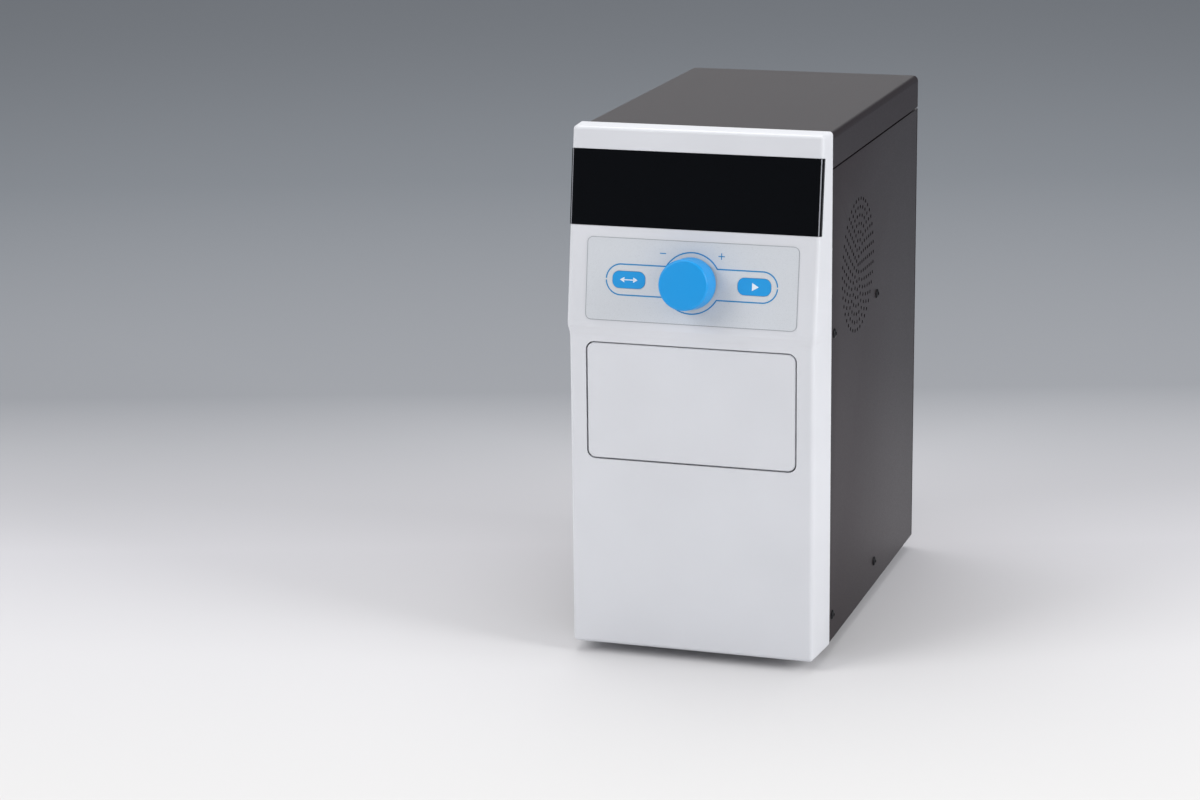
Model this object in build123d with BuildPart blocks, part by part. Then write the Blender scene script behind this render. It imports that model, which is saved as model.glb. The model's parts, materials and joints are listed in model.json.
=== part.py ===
from build123d import *
import math
import os

os.makedirs("parts", exist_ok=True)

# Microplate heat sealer with a motor-driven drawer and a heated press.
# X runs across the front, +Y towards the back, +Z up, in millimetres.
# The origin lies on the table, under the middle of the whole object.

# The plate that goes in, and what stands round it
pocket_width = 128.4
pocket_depth = 86.1
nest_rim = 4.0
tallest_plate = 48.0
lowest_plate = 8.0
nest_setback = 21.0

# Heights from the table up
foot_height = 10.0
base_sheet = 1.5
lower_bay = 112.5
deck_thickness = 4.0
slide_height = 18.0
tray_thickness = 3.0
nest_floor = 5.0
pad_thickness = 2.0
rim_over_seat = 4.0
platen_clearance = 8.0
platen_thickness = 16.0
insulation_thickness = 10.0
float_gap = 12.0
press_plate_thickness = 8.0
press_headroom = 18.0
press_deck_thickness = 8.0

base_top = foot_height + base_sheet
deck_bottom = base_top + lower_bay
deck_top = deck_bottom + deck_thickness
tray_bottom = deck_top + slide_height
tray_top = tray_bottom + tray_thickness
pocket_floor = tray_top + nest_floor
seat_z = pocket_floor + pad_thickness
nest_top = seat_z + rim_over_seat
platen_bottom = seat_z + tallest_plate + platen_clearance
platen_top = platen_bottom + platen_thickness
insulation_top = platen_top + insulation_thickness
press_plate_bottom = insulation_top + float_gap
press_plate_top = press_plate_bottom + press_plate_thickness
press_deck_bottom = press_plate_top + press_headroom
press_deck_top = press_deck_bottom + press_deck_thickness
press_travel = platen_bottom - seat_z - lowest_plate

# Widths from the middle out
tray_side_room = 4.3
frame_plate_thickness = 3.0
side_bay = 11.7
sheet = 1.2
panel_inset = 0.6

nest_width = pocket_width + 2 * nest_rim
nest_depth = pocket_depth + 2 * nest_rim
frame_inner_x = nest_width / 2 + tray_side_room
frame_outer_x = frame_inner_x + frame_plate_thickness
panel_inner_x = frame_outer_x + side_bay
panel_outer_x = panel_inner_x + sheet
casing_half_width = panel_outer_x + panel_inset

# Depths from the lower front face back
front_y = -145.0
bezel_depth = 37.0
joint_gap = 0.3
frame_setback = 12.0
frame_plate_depth = 172.0
drawer_travel = 125.0
rail_setback = 9.0
slide_block_length = 28.0
slide_block_spacing = 53.0
rail_end_room = 3.0
pinion_setback = 9.0
rack_overrun = 10.0
rear_room = 22.9

bezel_rear_y = front_y + bezel_depth
panel_front_y = bezel_rear_y + joint_gap
frame_front_y = front_y + frame_setback
frame_rear_y = frame_front_y + frame_plate_depth
nest_front_y = front_y + nest_setback
nest_center_y = nest_front_y + nest_depth / 2
nest_rear_y = nest_front_y + nest_depth
rail_front_y = front_y + rail_setback
front_block_y = rail_front_y + rail_end_room + drawer_travel + slide_block_length / 2
rear_block_y = front_block_y + slide_block_spacing
rail_rear_y = rear_block_y + slide_block_length / 2 + rail_end_room
pinion_y = front_block_y - slide_block_length / 2 + pinion_setback
rack_front_y = pinion_y - rack_overrun
rack_rear_y = pinion_y + drawer_travel + rack_overrun
panel_rear_y = rack_rear_y + rear_room
rear_outer_y = panel_rear_y + sheet

# Front bezel: a moulded shell with a leaning console over a flat lower face
bezel_drop = 2.0
bezel_wall = 3.0
front_corner_radius = 3.0
front_inset = 3.0
console_inset = 1.5
edge_fillet = 2.6
door_under_tray = 4.0
opening_width = 148.8
opening_height = 83.1
opening_radius = 6.2
opening_collar = 2.4
collar_depth = 8.0
door_gap = 1.0
step_over_door = 5.4
step_height = 4.5
step_out = 1.2
step_roll = 3.0
bend_steps = 2
console_lean = 8.4
overlay_margin = 5.5
overlay_width = 148.5
overlay_height = 56.6
overlay_radius = 4.0
overlay_thickness = 0.4
display_gap = 7.6
display_height = 51.5
display_thickness = 4.8
display_proud = 0.2
display_bevel = 1.6
display_overhang = 0.4
brow_height = 15.0
tape_gap = 0.2

bezel_bottom = foot_height - bezel_drop
opening_bottom = tray_bottom - door_under_tray
opening_top = opening_bottom + opening_height
opening_center_z = (opening_bottom + opening_top) / 2
step_bottom = opening_top + step_over_door
step_top = step_bottom + step_height
lean_cos = math.cos(math.radians(console_lean))
lean_sin = math.sin(math.radians(console_lean))
lean_tan = math.tan(math.radians(console_lean))
console_z = step_top + overlay_margin + overlay_height / 2 * lean_cos
console_y = front_y - step_out + (console_z - step_top) * lean_tan
display_center = overlay_height / 2 + display_gap + display_height / 2
display_top_z = console_z + (display_center + display_height / 2) * lean_cos
bezel_top = display_top_z + brow_height
bezel_top_front_y = front_y - step_out + (bezel_top - step_top) * lean_tan

# Console plane: local x across, local y up the slope, normal out of the face
console = Plane(
    origin=(0, console_y, console_z),
    x_dir=(1, 0, 0),
    z_dir=(0, -lean_cos, lean_sin),
)

# Sheet-metal casing
cover_sink = 2.0
cover_flange = 23.4
seam_gap = 1.2
fold_radius = 4.0
lip_width = 11.0
base_flange = 25.0

cover_top = bezel_top - cover_sink
cover_bottom = cover_top - cover_flange
panel_top = cover_bottom - seam_gap
panel_bottom = foot_height

# Vent in the right side
vent_setback = 116.0
vent_y = front_y + vent_setback
vent_drop = 13.0
vent_z = press_deck_bottom - vent_drop
vent_ring_pitch = 5.8
vent_rings = 8
vent_holes_per_ring = 5
vent_hole = 2.7

# Screws that hold the side panels
side_screw_setback = 46.9
side_screw_pitch = 128.1
side_screw_front_y = front_y + side_screw_setback
side_screw_rear_y = side_screw_front_y + side_screw_pitch
screw_over_opening = 4.4
side_screw_high_z = opening_top + screw_over_opening
screw_over_base = 18.0
side_screw_low_z = foot_height + screw_over_base
button_head_radius = 3.4
button_head_height = 1.6
button_head_taper = 35.0
button_head_sides = 8
hex_head_radius = 3.2
hex_head_height = 2.0

running_clearance = 0.05
seat_clearance = 0.3
cut_through = 1.0

# Sides of the plain turned parts inside
turned_sides = 12


def button_head():
    """A screw's low tapered head, seated on z = 0."""
    with BuildPart() as head:
        with BuildSketch():
            RegularPolygon(button_head_radius, button_head_sides)
        extrude(amount=button_head_height, taper=button_head_taper)
    return head.part


def hex_head():
    """A hexagon head, seated on z = 0."""
    with BuildPart() as head:
        with BuildSketch():
            RegularPolygon(hex_head_radius, 6)
        extrude(amount=hex_head_height)
    return head.part


def cut_corners(width, height, corner):
    """A rectangle whose corners are cut at 45 degrees."""
    with BuildSketch() as outline:
        Rectangle(width, height)
        chamfer(outline.vertices(), corner)
    return outline.sketch


def facing(x, y, z, direction):
    """A plane at a point whose normal runs along the given direction."""
    return Plane(origin=(x, y, z), z_dir=direction)


def upright(x, y, z):
    """A plane whose local x runs along X and local y along Z, facing the front."""
    return Plane(origin=(x, y, z), x_dir=(1, 0, 0), z_dir=(0, -1, 0))


def in_front(edge):
    """Whether an edge lies ahead of the bezel's open rear."""
    return edge.center().Y < bezel_rear_y - joint_gap


def console_depth(shape):
    """How far a face or edge stands out of the console plane."""
    return round((shape.center() - console.origin).dot(console.z_dir), 3)


def bend(start, crease, end):
    """Sections of a soft bend: height, face and half width on a curve round a crease."""
    sections = []
    for step in range(bend_steps):
        share = step / bend_steps
        sections.append(tuple(
            (1 - share) ** 2 * a + 2 * share * (1 - share) * b + share ** 2 * c
            for a, b, c in zip(start, crease, end)
        ))
    return sections


def bezel_form(inset, rear_y):
    """The bezel's outer form, or the room inside it where inset is the wall."""
    lower_half = casing_half_width - front_inset - inset
    upper_half = casing_half_width - console_inset - inset
    lean_inset = inset / lean_cos
    foot = (bezel_bottom + inset, front_y + inset, lower_half)
    lower = (step_bottom, front_y + inset, lower_half)
    upper = (step_top, front_y - step_out + lean_inset, upper_half)
    head = (bezel_top - inset, bezel_top_front_y - inset * lean_tan + lean_inset, upper_half)
    sections = [foot, lower, upper, head]
    if inset == 0:
        middle = tuple((a + b) / 2 for a, b in zip(lower, upper))
        below = (step_bottom - step_roll, front_y, lower_half)
        above = (step_top + step_roll, front_y - step_out + step_roll * lean_tan, upper_half)
        sections = [foot, *bend(below, lower, middle), *bend(middle, upper, above), above, head]
    with BuildPart() as form:
        for height, face_y, half in sections:
            with BuildSketch(Plane.XY.offset(height)) as section:
                with BuildLine():
                    Polyline(
                        (-casing_half_width + inset, rear_y),
                        (-half, face_y),
                        (half, face_y),
                        (casing_half_width - inset, rear_y),
                        close=True,
                    )
                make_face()
                if inset == 0:
                    fillet(section.vertices().group_by(Axis.Y)[0], front_corner_radius)
        loft(ruled=True)
    return form.part


# Bezel fixings and the boards' ribs
boss_width = 6.8
boss_inset = 8.0
low_boss_rise = 8.0
high_boss_drop = 30.0
board_thickness = 1.6
board_rib = 3.0
board_edge = 2.0
control_board_depth = 11.0
control_board_width = 135.0
control_board_height = 49.0
display_board_depth = 11.0
display_board_width = 143.0
display_board_height = 47.0
aperture_width = 118.8
aperture_height = 37.0
stiffeners = 2
stiffener_width = 1.8
stiffener_depth = 3.0
pads = 3
pad_spacing = 61.0
pad_setback = 9.0
pad_length = 8.0
pad_width = 4.0
pad_drop = 1.0

boss_x = casing_half_width - boss_inset
boss_heights = (
    foot_height + base_flange + low_boss_rise,
    opening_center_z,
    bezel_top - high_boss_drop,
)

# Keys, knob and encoder, along the console's normal
key_length = 23.5
key_height = 12.0
key_radius = 5.0
key_spacing = 88.0
key_gap = 0.2
key_proud = 0.2
key_travel = 0.4
key_flange = 1.5
key_flange_height = 1.2
key_stem_width = 3.6
key_stem_gap = 0.1
switch_width = 6.0
switch_height = 4.4
plunger_width = 3.4
plunger_rise = 1.0
knob_radius = 17.75
knob_tip_radius = 17.3
knob_back = 1.9
knob_front = 21.2
knob_edge = 1.0
knob_cap = 3.5
knob_push = 1.0
shaft_radius = 3.0
shaft_flat = 1.5
encoder_bush_radius = 3.5
encoder_size = 12.4
encoder_height = 6.4
encoder_bush_proud = 0.6

# Moulded front bezel, white ABS
with BuildPart() as front_bezel:
    add(bezel_form(0, bezel_rear_y))
    for face in (front_bezel.faces().sort_by(Axis.Z)[-1], front_bezel.faces().sort_by(Axis.Z)[0]):
        rounded = face.edges().filter_by(in_front)
        fillet(rounded, edge_fillet)
    add(bezel_form(bezel_wall, bezel_rear_y + cut_through), mode=Mode.SUBTRACT)
    # collar round the drawer opening
    with BuildSketch(Plane.XZ.offset(-front_y - bezel_wall / 2)):
        with Locations((0, opening_center_z)):
            Rectangle(opening_width + 2 * opening_collar, opening_height + 2 * opening_collar)
    extrude(amount=-(collar_depth - bezel_wall / 2))
    with BuildSketch(Plane.XZ.offset(-front_y + cut_through)):
        with Locations((0, opening_center_z)):
            RectangleRounded(opening_width, opening_height, opening_radius)
    extrude(amount=-(collar_depth + 2 * cut_through), mode=Mode.SUBTRACT)
    # backing that carries the display window
    with BuildSketch(console.offset(-bezel_wall / 2)):
        with Locations((0, display_center)):
            Rectangle(
                2 * (casing_half_width - console_inset) - bezel_wall,
                display_height + 2 * bezel_wall,
            )
    extrude(amount=-(display_thickness + bezel_wall / 2))
    with BuildSketch(console.offset(cut_through)):
        with Locations((0, display_center)):
            Rectangle(2 * (casing_half_width + cut_through), display_height + 2 * tape_gap)
    extrude(amount=-(cut_through + display_thickness - display_proud + tape_gap), mode=Mode.SUBTRACT)
    with BuildSketch(console):
        with Locations((0, display_center)):
            Rectangle(aperture_width, aperture_height)
    extrude(amount=-(display_thickness + 2 * bezel_wall), mode=Mode.SUBTRACT)
    # holes for the two keys and the encoder's bush, under the overlay
    with BuildSketch(console.offset(cut_through)):
        with GridLocations(key_spacing, 0, 2, 1):
            Rectangle(key_length, key_height)
        RegularPolygon(encoder_bush_radius + 2 * seat_clearance, turned_sides)
    extrude(amount=-(bezel_wall + 2 * cut_through), mode=Mode.SUBTRACT)
    # ribs that carry the two circuit boards
    with BuildSketch(console.offset(-bezel_wall / 2)):
        with GridLocations(control_board_width - 2 * board_edge - board_rib, 0, 2, 1):
            Rectangle(board_rib, control_board_height)
    extrude(amount=-(control_board_depth - bezel_wall / 2))
    with BuildSketch(console.offset(-bezel_wall / 2 - display_thickness)):
        with Locations((0, display_center)):
            with GridLocations(display_board_width - 2 * board_edge - board_rib, 0, 2, 1):
                Rectangle(board_rib, display_board_height)
    extrude(amount=-(display_board_depth - bezel_wall / 2 - display_thickness))
    # bosses that meet the side panels' front lips
    for height in boss_heights:
        boss_front_y = front_y if height < step_bottom else bezel_top_front_y + bezel_wall / 2
        with BuildSketch(Plane.XZ.offset(-boss_front_y - bezel_wall / 2)):
            with Locations((0, height)):
                with GridLocations(2 * boss_x, 0, 2, 1):
                    Rectangle(boss_width, boss_width)
        extrude(amount=-(bezel_rear_y - boss_front_y - bezel_wall / 2))
    # stiffening ribs across the lower face
    with BuildSketch(Plane.XZ.offset(-front_y - bezel_wall / 2)):
        with Locations((0, (bezel_bottom + opening_bottom) / 2)):
            with GridLocations(0, (opening_bottom - bezel_bottom) / (stiffeners + 1), 1, stiffeners):
                Rectangle(opening_width, stiffener_width)
    extrude(amount=-(bezel_wall / 2 + stiffener_depth))
    # small pads under the lower edge
    with BuildSketch(Plane.XY.offset(bezel_bottom + bezel_wall / 2)):
        with Locations((0, front_y + pad_setback)):
            with GridLocations(pad_spacing, 0, pads, 1):
                Rectangle(pad_length, pad_width)
    extrude(amount=-(bezel_wall / 2 + pad_drop))
front_bezel.part.label = "front_bezel"
export_step(front_bezel.part, "parts/front_bezel.step")

# Glossy dark window across the whole console, its ends bevelled
with BuildPart() as display_window:
    with BuildSketch(console.offset(display_proud - display_thickness)):
        with Locations((0, display_center)):
            Rectangle(2 * (casing_half_width - console_inset + display_overhang), display_height)
    extrude(amount=display_thickness)
    ends = display_window.faces().sort_by(Axis.X)
    front_ends = [end.edges().sort_by(console_depth)[-1] for end in (ends[0], ends[-1])]
    chamfer(front_ends, display_bevel)
display_window.part.label = "display_window"
export_step(display_window.part, "parts/display_window.step")

# Membrane overlay with openings for the keys and the encoder
with BuildPart() as control_overlay:
    with BuildSketch(console):
        RectangleRounded(overlay_width, overlay_height, overlay_radius)
        with GridLocations(key_spacing, 0, 2, 1):
            RectangleRounded(key_length, key_height, key_radius, mode=Mode.SUBTRACT)
        RegularPolygon(encoder_bush_radius + 2 * seat_clearance, turned_sides, mode=Mode.SUBTRACT)
    extrude(amount=overlay_thickness)
control_overlay.part.label = "control_overlay"
export_step(control_overlay.part, "parts/control_overlay.step")


def console_key(offset_x):
    """One key cap with its retaining flange and the stem to its switch."""
    cap_back = bezel_wall + seat_clearance
    stem_end = control_board_depth - switch_height - key_travel - key_stem_gap
    with BuildPart() as key:
        with BuildSketch(console.offset(-cap_back)):
            with Locations((offset_x, 0)):
                RectangleRounded(key_length - 2 * key_gap, key_height - 2 * key_gap, key_radius - key_gap)
        extrude(amount=cap_back + overlay_thickness + key_proud)
        with BuildSketch(console.offset(-cap_back)):
            with Locations((offset_x, 0)):
                Rectangle(key_length + 2 * key_flange, key_height + 2 * key_flange)
        extrude(amount=-key_flange_height)
        with BuildSketch(console.offset(-cap_back)):
            with Locations((offset_x, 0)):
                Rectangle(key_stem_width, key_stem_width)
        extrude(amount=-(stem_end - cap_back))
    return key.part


with BuildPart() as in_out_key:
    add(console_key(-key_spacing / 2))
in_out_key.part.label = "in_out_key"
export_step(in_out_key.part, "parts/in_out_key.step")

with BuildPart() as start_key:
    add(console_key(key_spacing / 2))
start_key.part.label = "start_key"
export_step(start_key.part, "parts/start_key.step")

# Circuit board behind the keys and the knob, with its cable connector
plug_length = 30.0
plug_width = 6.0
plug_height = 5.0
plug_inset = 6.0
with BuildPart() as control_board:
    with BuildSketch(console.offset(-control_board_depth)):
        Rectangle(control_board_width, control_board_height)
    extrude(amount=-board_thickness)
    with BuildSketch(console.offset(-control_board_depth - board_thickness)):
        with Locations((0, plug_inset - control_board_height / 2)):
            Rectangle(plug_length, plug_width)
    extrude(amount=-plug_height)
control_board.part.label = "control_board"
export_step(control_board.part, "parts/control_board.step")

with BuildPart() as key_switches:
    with BuildSketch(console.offset(-control_board_depth)):
        with GridLocations(key_spacing, 0, 2, 1):
            Rectangle(switch_width, switch_width)
    extrude(amount=switch_height - plunger_rise)
    with BuildSketch(console.offset(-control_board_depth + switch_height - plunger_rise)):
        with GridLocations(key_spacing, 0, 2, 1):
            Rectangle(plunger_width, plunger_width)
    extrude(amount=plunger_rise)
key_switches.part.label = "key_switches"
export_step(key_switches.part, "parts/key_switches.step")

# Push encoder: housing with a bush, a turning rotor inside, and its shaft
rotor_radius = 4.6
rotor_height = 2.4
rotor_back = 1.2
flat_overrun = 0.6
with BuildPart() as encoder_body:
    with BuildSketch(console.offset(-control_board_depth)):
        Rectangle(encoder_size, encoder_size)
    extrude(amount=encoder_height)
    with BuildSketch(console.offset(-control_board_depth + encoder_height)):
        Circle(encoder_bush_radius)
    extrude(amount=control_board_depth - encoder_height + encoder_bush_proud)
    with BuildSketch(console.offset(-control_board_depth)):
        Circle(rotor_radius + running_clearance)
    extrude(amount=rotor_back + rotor_height + running_clearance, mode=Mode.SUBTRACT)
    with BuildSketch(console.offset(-control_board_depth)):
        Circle(shaft_radius + running_clearance)
    extrude(amount=control_board_depth + encoder_bush_proud, mode=Mode.SUBTRACT)
encoder_body.part.label = "encoder_body"
export_step(encoder_body.part, "parts/encoder_body.step")

with BuildPart() as encoder_rotor:
    with BuildSketch(console.offset(-control_board_depth + rotor_back)):
        Circle(rotor_radius)
        with BuildSketch(mode=Mode.PRIVATE) as rotor_bore:
            Circle(shaft_radius + running_clearance)
            with Locations((0, shaft_flat + running_clearance)):
                Rectangle(
                    4 * shaft_radius,
                    2 * shaft_radius,
                    align=(Align.CENTER, Align.MIN),
                    mode=Mode.SUBTRACT,
                )
        add(rotor_bore.sketch, mode=Mode.SUBTRACT)
    extrude(amount=rotor_height)
encoder_rotor.part.label = "encoder_rotor"
export_step(encoder_rotor.part, "parts/encoder_rotor.step")

shaft_back = control_board_depth - rotor_back
shaft_front = knob_front - knob_cap
with BuildPart() as encoder_shaft:
    with BuildSketch(console.offset(-shaft_back)):
        Circle(shaft_radius)
    extrude(amount=shaft_back + shaft_front)
    with BuildSketch(console.offset(-shaft_back)):
        with Locations((0, shaft_flat)):
            Rectangle(4 * shaft_radius, 2 * shaft_radius, align=(Align.CENTER, Align.MIN))
    extrude(amount=rotor_height + knob_push + flat_overrun, mode=Mode.SUBTRACT)
    with BuildSketch(console.offset(knob_back)):
        with Locations((0, shaft_flat)):
            Rectangle(4 * shaft_radius, 2 * shaft_radius, align=(Align.CENTER, Align.MIN))
    extrude(amount=shaft_front, mode=Mode.SUBTRACT)
encoder_shaft.part.label = "encoder_shaft"
export_step(encoder_shaft.part, "parts/encoder_shaft.step")

# Knob with a bevelled edge and a bore for the D-shaft
with BuildPart() as control_knob:
    with BuildSketch(console.offset(knob_back)):
        Circle(knob_radius)
    with BuildSketch(console.offset(knob_front)):
        Circle(knob_tip_radius)
    loft()
    chamfer(control_knob.edges().sort_by(console_depth)[-1], knob_edge)
    with BuildSketch(console.offset(knob_back)):
        Circle(shaft_radius)
        with Locations((0, shaft_flat)):
            Rectangle(
                4 * shaft_radius,
                2 * shaft_radius,
                align=(Align.CENTER, Align.MIN),
                mode=Mode.SUBTRACT,
            )
    extrude(amount=shaft_front - knob_back, mode=Mode.SUBTRACT)
control_knob.part.label = "control_knob"
export_step(control_knob.part, "parts/control_knob.step")

# Display board with its lit digits behind the window's aperture
digit_height = 5.8
digit_block_width = 50.0
digit_block_height = 19.0
digit_block_gap = 4.0
digit_bevel = 0.5
with BuildPart() as display_board:
    with BuildSketch(console.offset(-display_board_depth)):
        with Locations((0, display_center)):
            Rectangle(display_board_width, display_board_height)
    extrude(amount=-board_thickness)
display_board.part.label = "display_board"
export_step(display_board.part, "parts/display_board.step")

with BuildPart() as display_digits:
    with BuildSketch(console.offset(-display_board_depth)):
        with Locations((0, display_center)):
            with GridLocations(digit_block_width + digit_block_gap, 0, 2, 1):
                Rectangle(digit_block_width, digit_block_height)
    extrude(amount=digit_height)
    chamfer(display_digits.edges().group_by(console_depth)[-1], digit_bevel)
display_digits.part.label = "display_digits"
export_step(display_digits.part, "parts/display_digits.step")

# Where the rear screws stand
cover_screw_rise = 7.0
rear_screw_rise = 20.0
rear_screw_drop = 14.0
cover_screw_x = panel_inner_x - 2 * lip_width
cover_screw_z = cover_bottom + cover_screw_rise
rear_screw_x = panel_inner_x - lip_width / 2
rear_screw_heights = (
    panel_bottom + rear_screw_rise,
    (panel_bottom + panel_top) / 2,
    panel_top - rear_screw_drop,
)

# Top cover: folded sheet with side flanges and a rear flange
with BuildPart() as top_cover:
    with BuildSketch(Plane.XZ.offset(-panel_front_y)) as cover_profile:
        with Locations((0, cover_bottom)):
            Rectangle(2 * panel_outer_x, cover_top - cover_bottom, align=(Align.CENTER, Align.MIN))
        fillet(cover_profile.vertices().group_by(Axis.Y)[-1], fold_radius)
    extrude(amount=-(rear_outer_y - panel_front_y))
    with BuildSketch(Plane.XZ.offset(-panel_front_y + cut_through)) as cover_room:
        with Locations((0, cover_top - sheet)):
            Rectangle(2 * panel_inner_x, cover_top - cover_bottom, align=(Align.CENTER, Align.MAX))
        fillet(cover_room.vertices().group_by(Axis.Y)[-1], fold_radius - sheet)
    extrude(amount=-(panel_rear_y - panel_front_y + cut_through), mode=Mode.SUBTRACT)
top_cover.part.label = "top_cover"
export_step(top_cover.part, "parts/top_cover.step")


def on_panel_face(edge):
    """Whether an edge lies in a side panel's outer face."""
    return abs(abs(edge.center().X) - panel_outer_x) < running_clearance


def side_panel(side, vented):
    """A side panel with folded lips front, back and on top; side is -1 or 1."""
    with BuildPart() as panel:
        with BuildSketch(Plane.XY.offset(panel_bottom)) as panel_plan:
            with BuildLine():
                Polyline(
                    (side * (panel_inner_x - lip_width), panel_front_y),
                    (side * panel_outer_x, panel_front_y),
                    (side * panel_outer_x, panel_rear_y),
                    (side * (panel_inner_x - lip_width), panel_rear_y),
                    (side * (panel_inner_x - lip_width), panel_rear_y - sheet),
                    (side * panel_inner_x, panel_rear_y - sheet),
                    (side * panel_inner_x, panel_front_y + sheet),
                    (side * (panel_inner_x - lip_width), panel_front_y + sheet),
                    close=True,
                )
            make_face()
        extrude(amount=panel_top - panel_bottom)
        with BuildSketch(Plane.XY.offset(panel_top)):
            with Locations((side * (panel_outer_x - lip_width / 2), (panel_front_y + panel_rear_y) / 2)):
                Rectangle(lip_width, panel_rear_y - panel_front_y - 4 * fold_radius)
        extrude(amount=-sheet)
        fold_edges = panel.edges().filter_by(Axis.Z).filter_by(on_panel_face)
        fillet(fold_edges, sheet)
        if vented:
            with BuildSketch(facing(side * (panel_outer_x + sheet), vent_y, vent_z, (side, 0, 0))):
                Rectangle(vent_hole, vent_hole)
                for ring in range(1, vent_rings + 1):
                    with PolarLocations(ring * vent_ring_pitch, ring * vent_holes_per_ring):
                        Rectangle(vent_hole, vent_hole)
            extrude(amount=-3 * sheet, mode=Mode.SUBTRACT)
    return panel.part


with BuildPart() as left_side_panel:
    add(side_panel(-1, False))
left_side_panel.part.label = "left_side_panel"
export_step(left_side_panel.part, "parts/left_side_panel.step")

with BuildPart() as right_side_panel:
    add(side_panel(1, True))
right_side_panel.part.label = "right_side_panel"
export_step(right_side_panel.part, "parts/right_side_panel.step")

# Rear panel with air slots and openings for the mains inlet and the switch
inlet_x = -38.0
inlet_rise = 72.5
inlet_z = base_top + inlet_rise
inlet_width = 27.6
inlet_height = 47.6
inlet_flange = 3.0
rocker_x = 14.0
rocker_z = inlet_z
rocker_width = 19.4
rocker_height = 28.4
slot_length = 46.0
slot_width = 4.0
slot_bridge = 12.0
slot_pitch = 9.0
slot_rows = 8
slot_drop = 81.5
tab_overlap = 10.0
with BuildPart() as rear_panel:
    with BuildSketch(Plane.XZ.offset(-panel_rear_y)):
        with Locations((0, panel_bottom)):
            Rectangle(2 * panel_outer_x, panel_top - panel_bottom, align=(Align.CENTER, Align.MIN))
    extrude(amount=-sheet)
    with BuildSketch(Plane.XZ.offset(-rear_outer_y)):
        with Locations((inlet_x, inlet_z)):
            Rectangle(inlet_width, inlet_height)
        with Locations((rocker_x, rocker_z)):
            Rectangle(rocker_width, rocker_height)
        with Locations((0, panel_top - slot_drop)):
            with GridLocations(slot_length + slot_bridge, slot_pitch, 2, slot_rows):
                Rectangle(slot_length, slot_width)
    extrude(amount=sheet, mode=Mode.SUBTRACT)
    # tabs behind the cover's rear flange
    with BuildSketch(Plane.XZ.offset(-panel_rear_y)):
        with Locations((0, panel_top - tab_overlap + cover_flange / 2)):
            with GridLocations(2 * cover_screw_x, 0, 2, 1):
                Rectangle(lip_width, cover_flange)
    extrude(amount=sheet)
rear_panel.part.label = "rear_panel"
export_step(rear_panel.part, "parts/rear_panel.step")

# Base plate, folded up at the front and along both sides
base_half_width = panel_inner_x - seat_clearance
base_front_y = panel_front_y + sheet + seat_clearance
base_rear_y = panel_rear_y - sheet - seat_clearance
base_fold_radius = 0.5
foot_inset_x = 18.0
foot_inset_y = 20.0
base_slots = 9
base_slot_length = 50.0
base_slot_width = 3.5
base_slot_pitch = 9.0
base_slot_setback = 80.0
with BuildPart() as base_plate:
    with BuildSketch(Plane.XZ.offset(-base_front_y)) as base_profile:
        with Locations((0, foot_height)):
            Rectangle(2 * base_half_width, base_flange, align=(Align.CENTER, Align.MIN))
        fillet(base_profile.vertices().group_by(Axis.Y)[0], base_sheet + base_fold_radius)
    extrude(amount=-(base_rear_y - base_front_y))
    with BuildSketch(Plane.XZ.offset(-base_front_y - base_sheet)) as base_room:
        with Locations((0, base_top)):
            Rectangle(2 * (base_half_width - base_sheet), base_flange, align=(Align.CENTER, Align.MIN))
        fillet(base_room.vertices().group_by(Axis.Y)[0], base_fold_radius)
    extrude(amount=-(base_rear_y - base_front_y), mode=Mode.SUBTRACT)
    with BuildSketch(Plane.XY.offset(foot_height)):
        with Locations((0, base_rear_y - base_slot_setback)):
            with GridLocations(0, base_slot_pitch, 1, base_slots):
                Rectangle(base_slot_length, base_slot_width)
    extrude(amount=base_sheet, mode=Mode.SUBTRACT)
base_plate.part.label = "base_plate"
export_step(base_plate.part, "parts/base_plate.step")

# Rubber feet bonded under the base
foot_radius = 9.0
with BuildPart() as rubber_feet:
    with BuildSketch():
        with Locations((0, (base_front_y + base_rear_y) / 2)):
            with GridLocations(
                2 * (base_half_width - foot_inset_x),
                base_rear_y - base_front_y - 2 * foot_inset_y,
                2,
                2,
            ):
                RegularPolygon(foot_radius, turned_sides)
    extrude(amount=foot_height)
rubber_feet.part.label = "rubber_feet"
export_step(rubber_feet.part, "parts/rubber_feet.step")

# Heads of the screws in the side panels
screw_button = button_head()
screw_hexagon = hex_head()
with BuildPart() as panel_screws:
    for side in (-1, 1):
        for y in (side_screw_front_y, side_screw_rear_y):
            for z in (side_screw_high_z, side_screw_low_z):
                with Locations(facing(side * panel_outer_x, y, z, (side, 0, 0))):
                    add(screw_button)
panel_screws.part.label = "panel_screws"
export_step(panel_screws.part, "parts/panel_screws.step")

with BuildPart() as rear_screws:
    for side in (-1, 1):
        for height in rear_screw_heights:
            with Locations(facing(side * rear_screw_x, rear_outer_y, height, (0, 1, 0))):
                add(screw_button)
        with Locations(facing(side * cover_screw_x, rear_outer_y, cover_screw_z, (0, 1, 0))):
            add(screw_button)
rear_screws.part.label = "rear_screws"
export_step(rear_screws.part, "parts/rear_screws.step")

with BuildPart() as bezel_screws:
    for side in (-1, 1):
        for height in boss_heights:
            with Locations(facing(side * boss_x, panel_front_y + sheet, height, (0, 1, 0))):
                add(screw_hexagon)
bezel_screws.part.label = "bezel_screws"
export_step(bezel_screws.part, "parts/bezel_screws.step")

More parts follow.
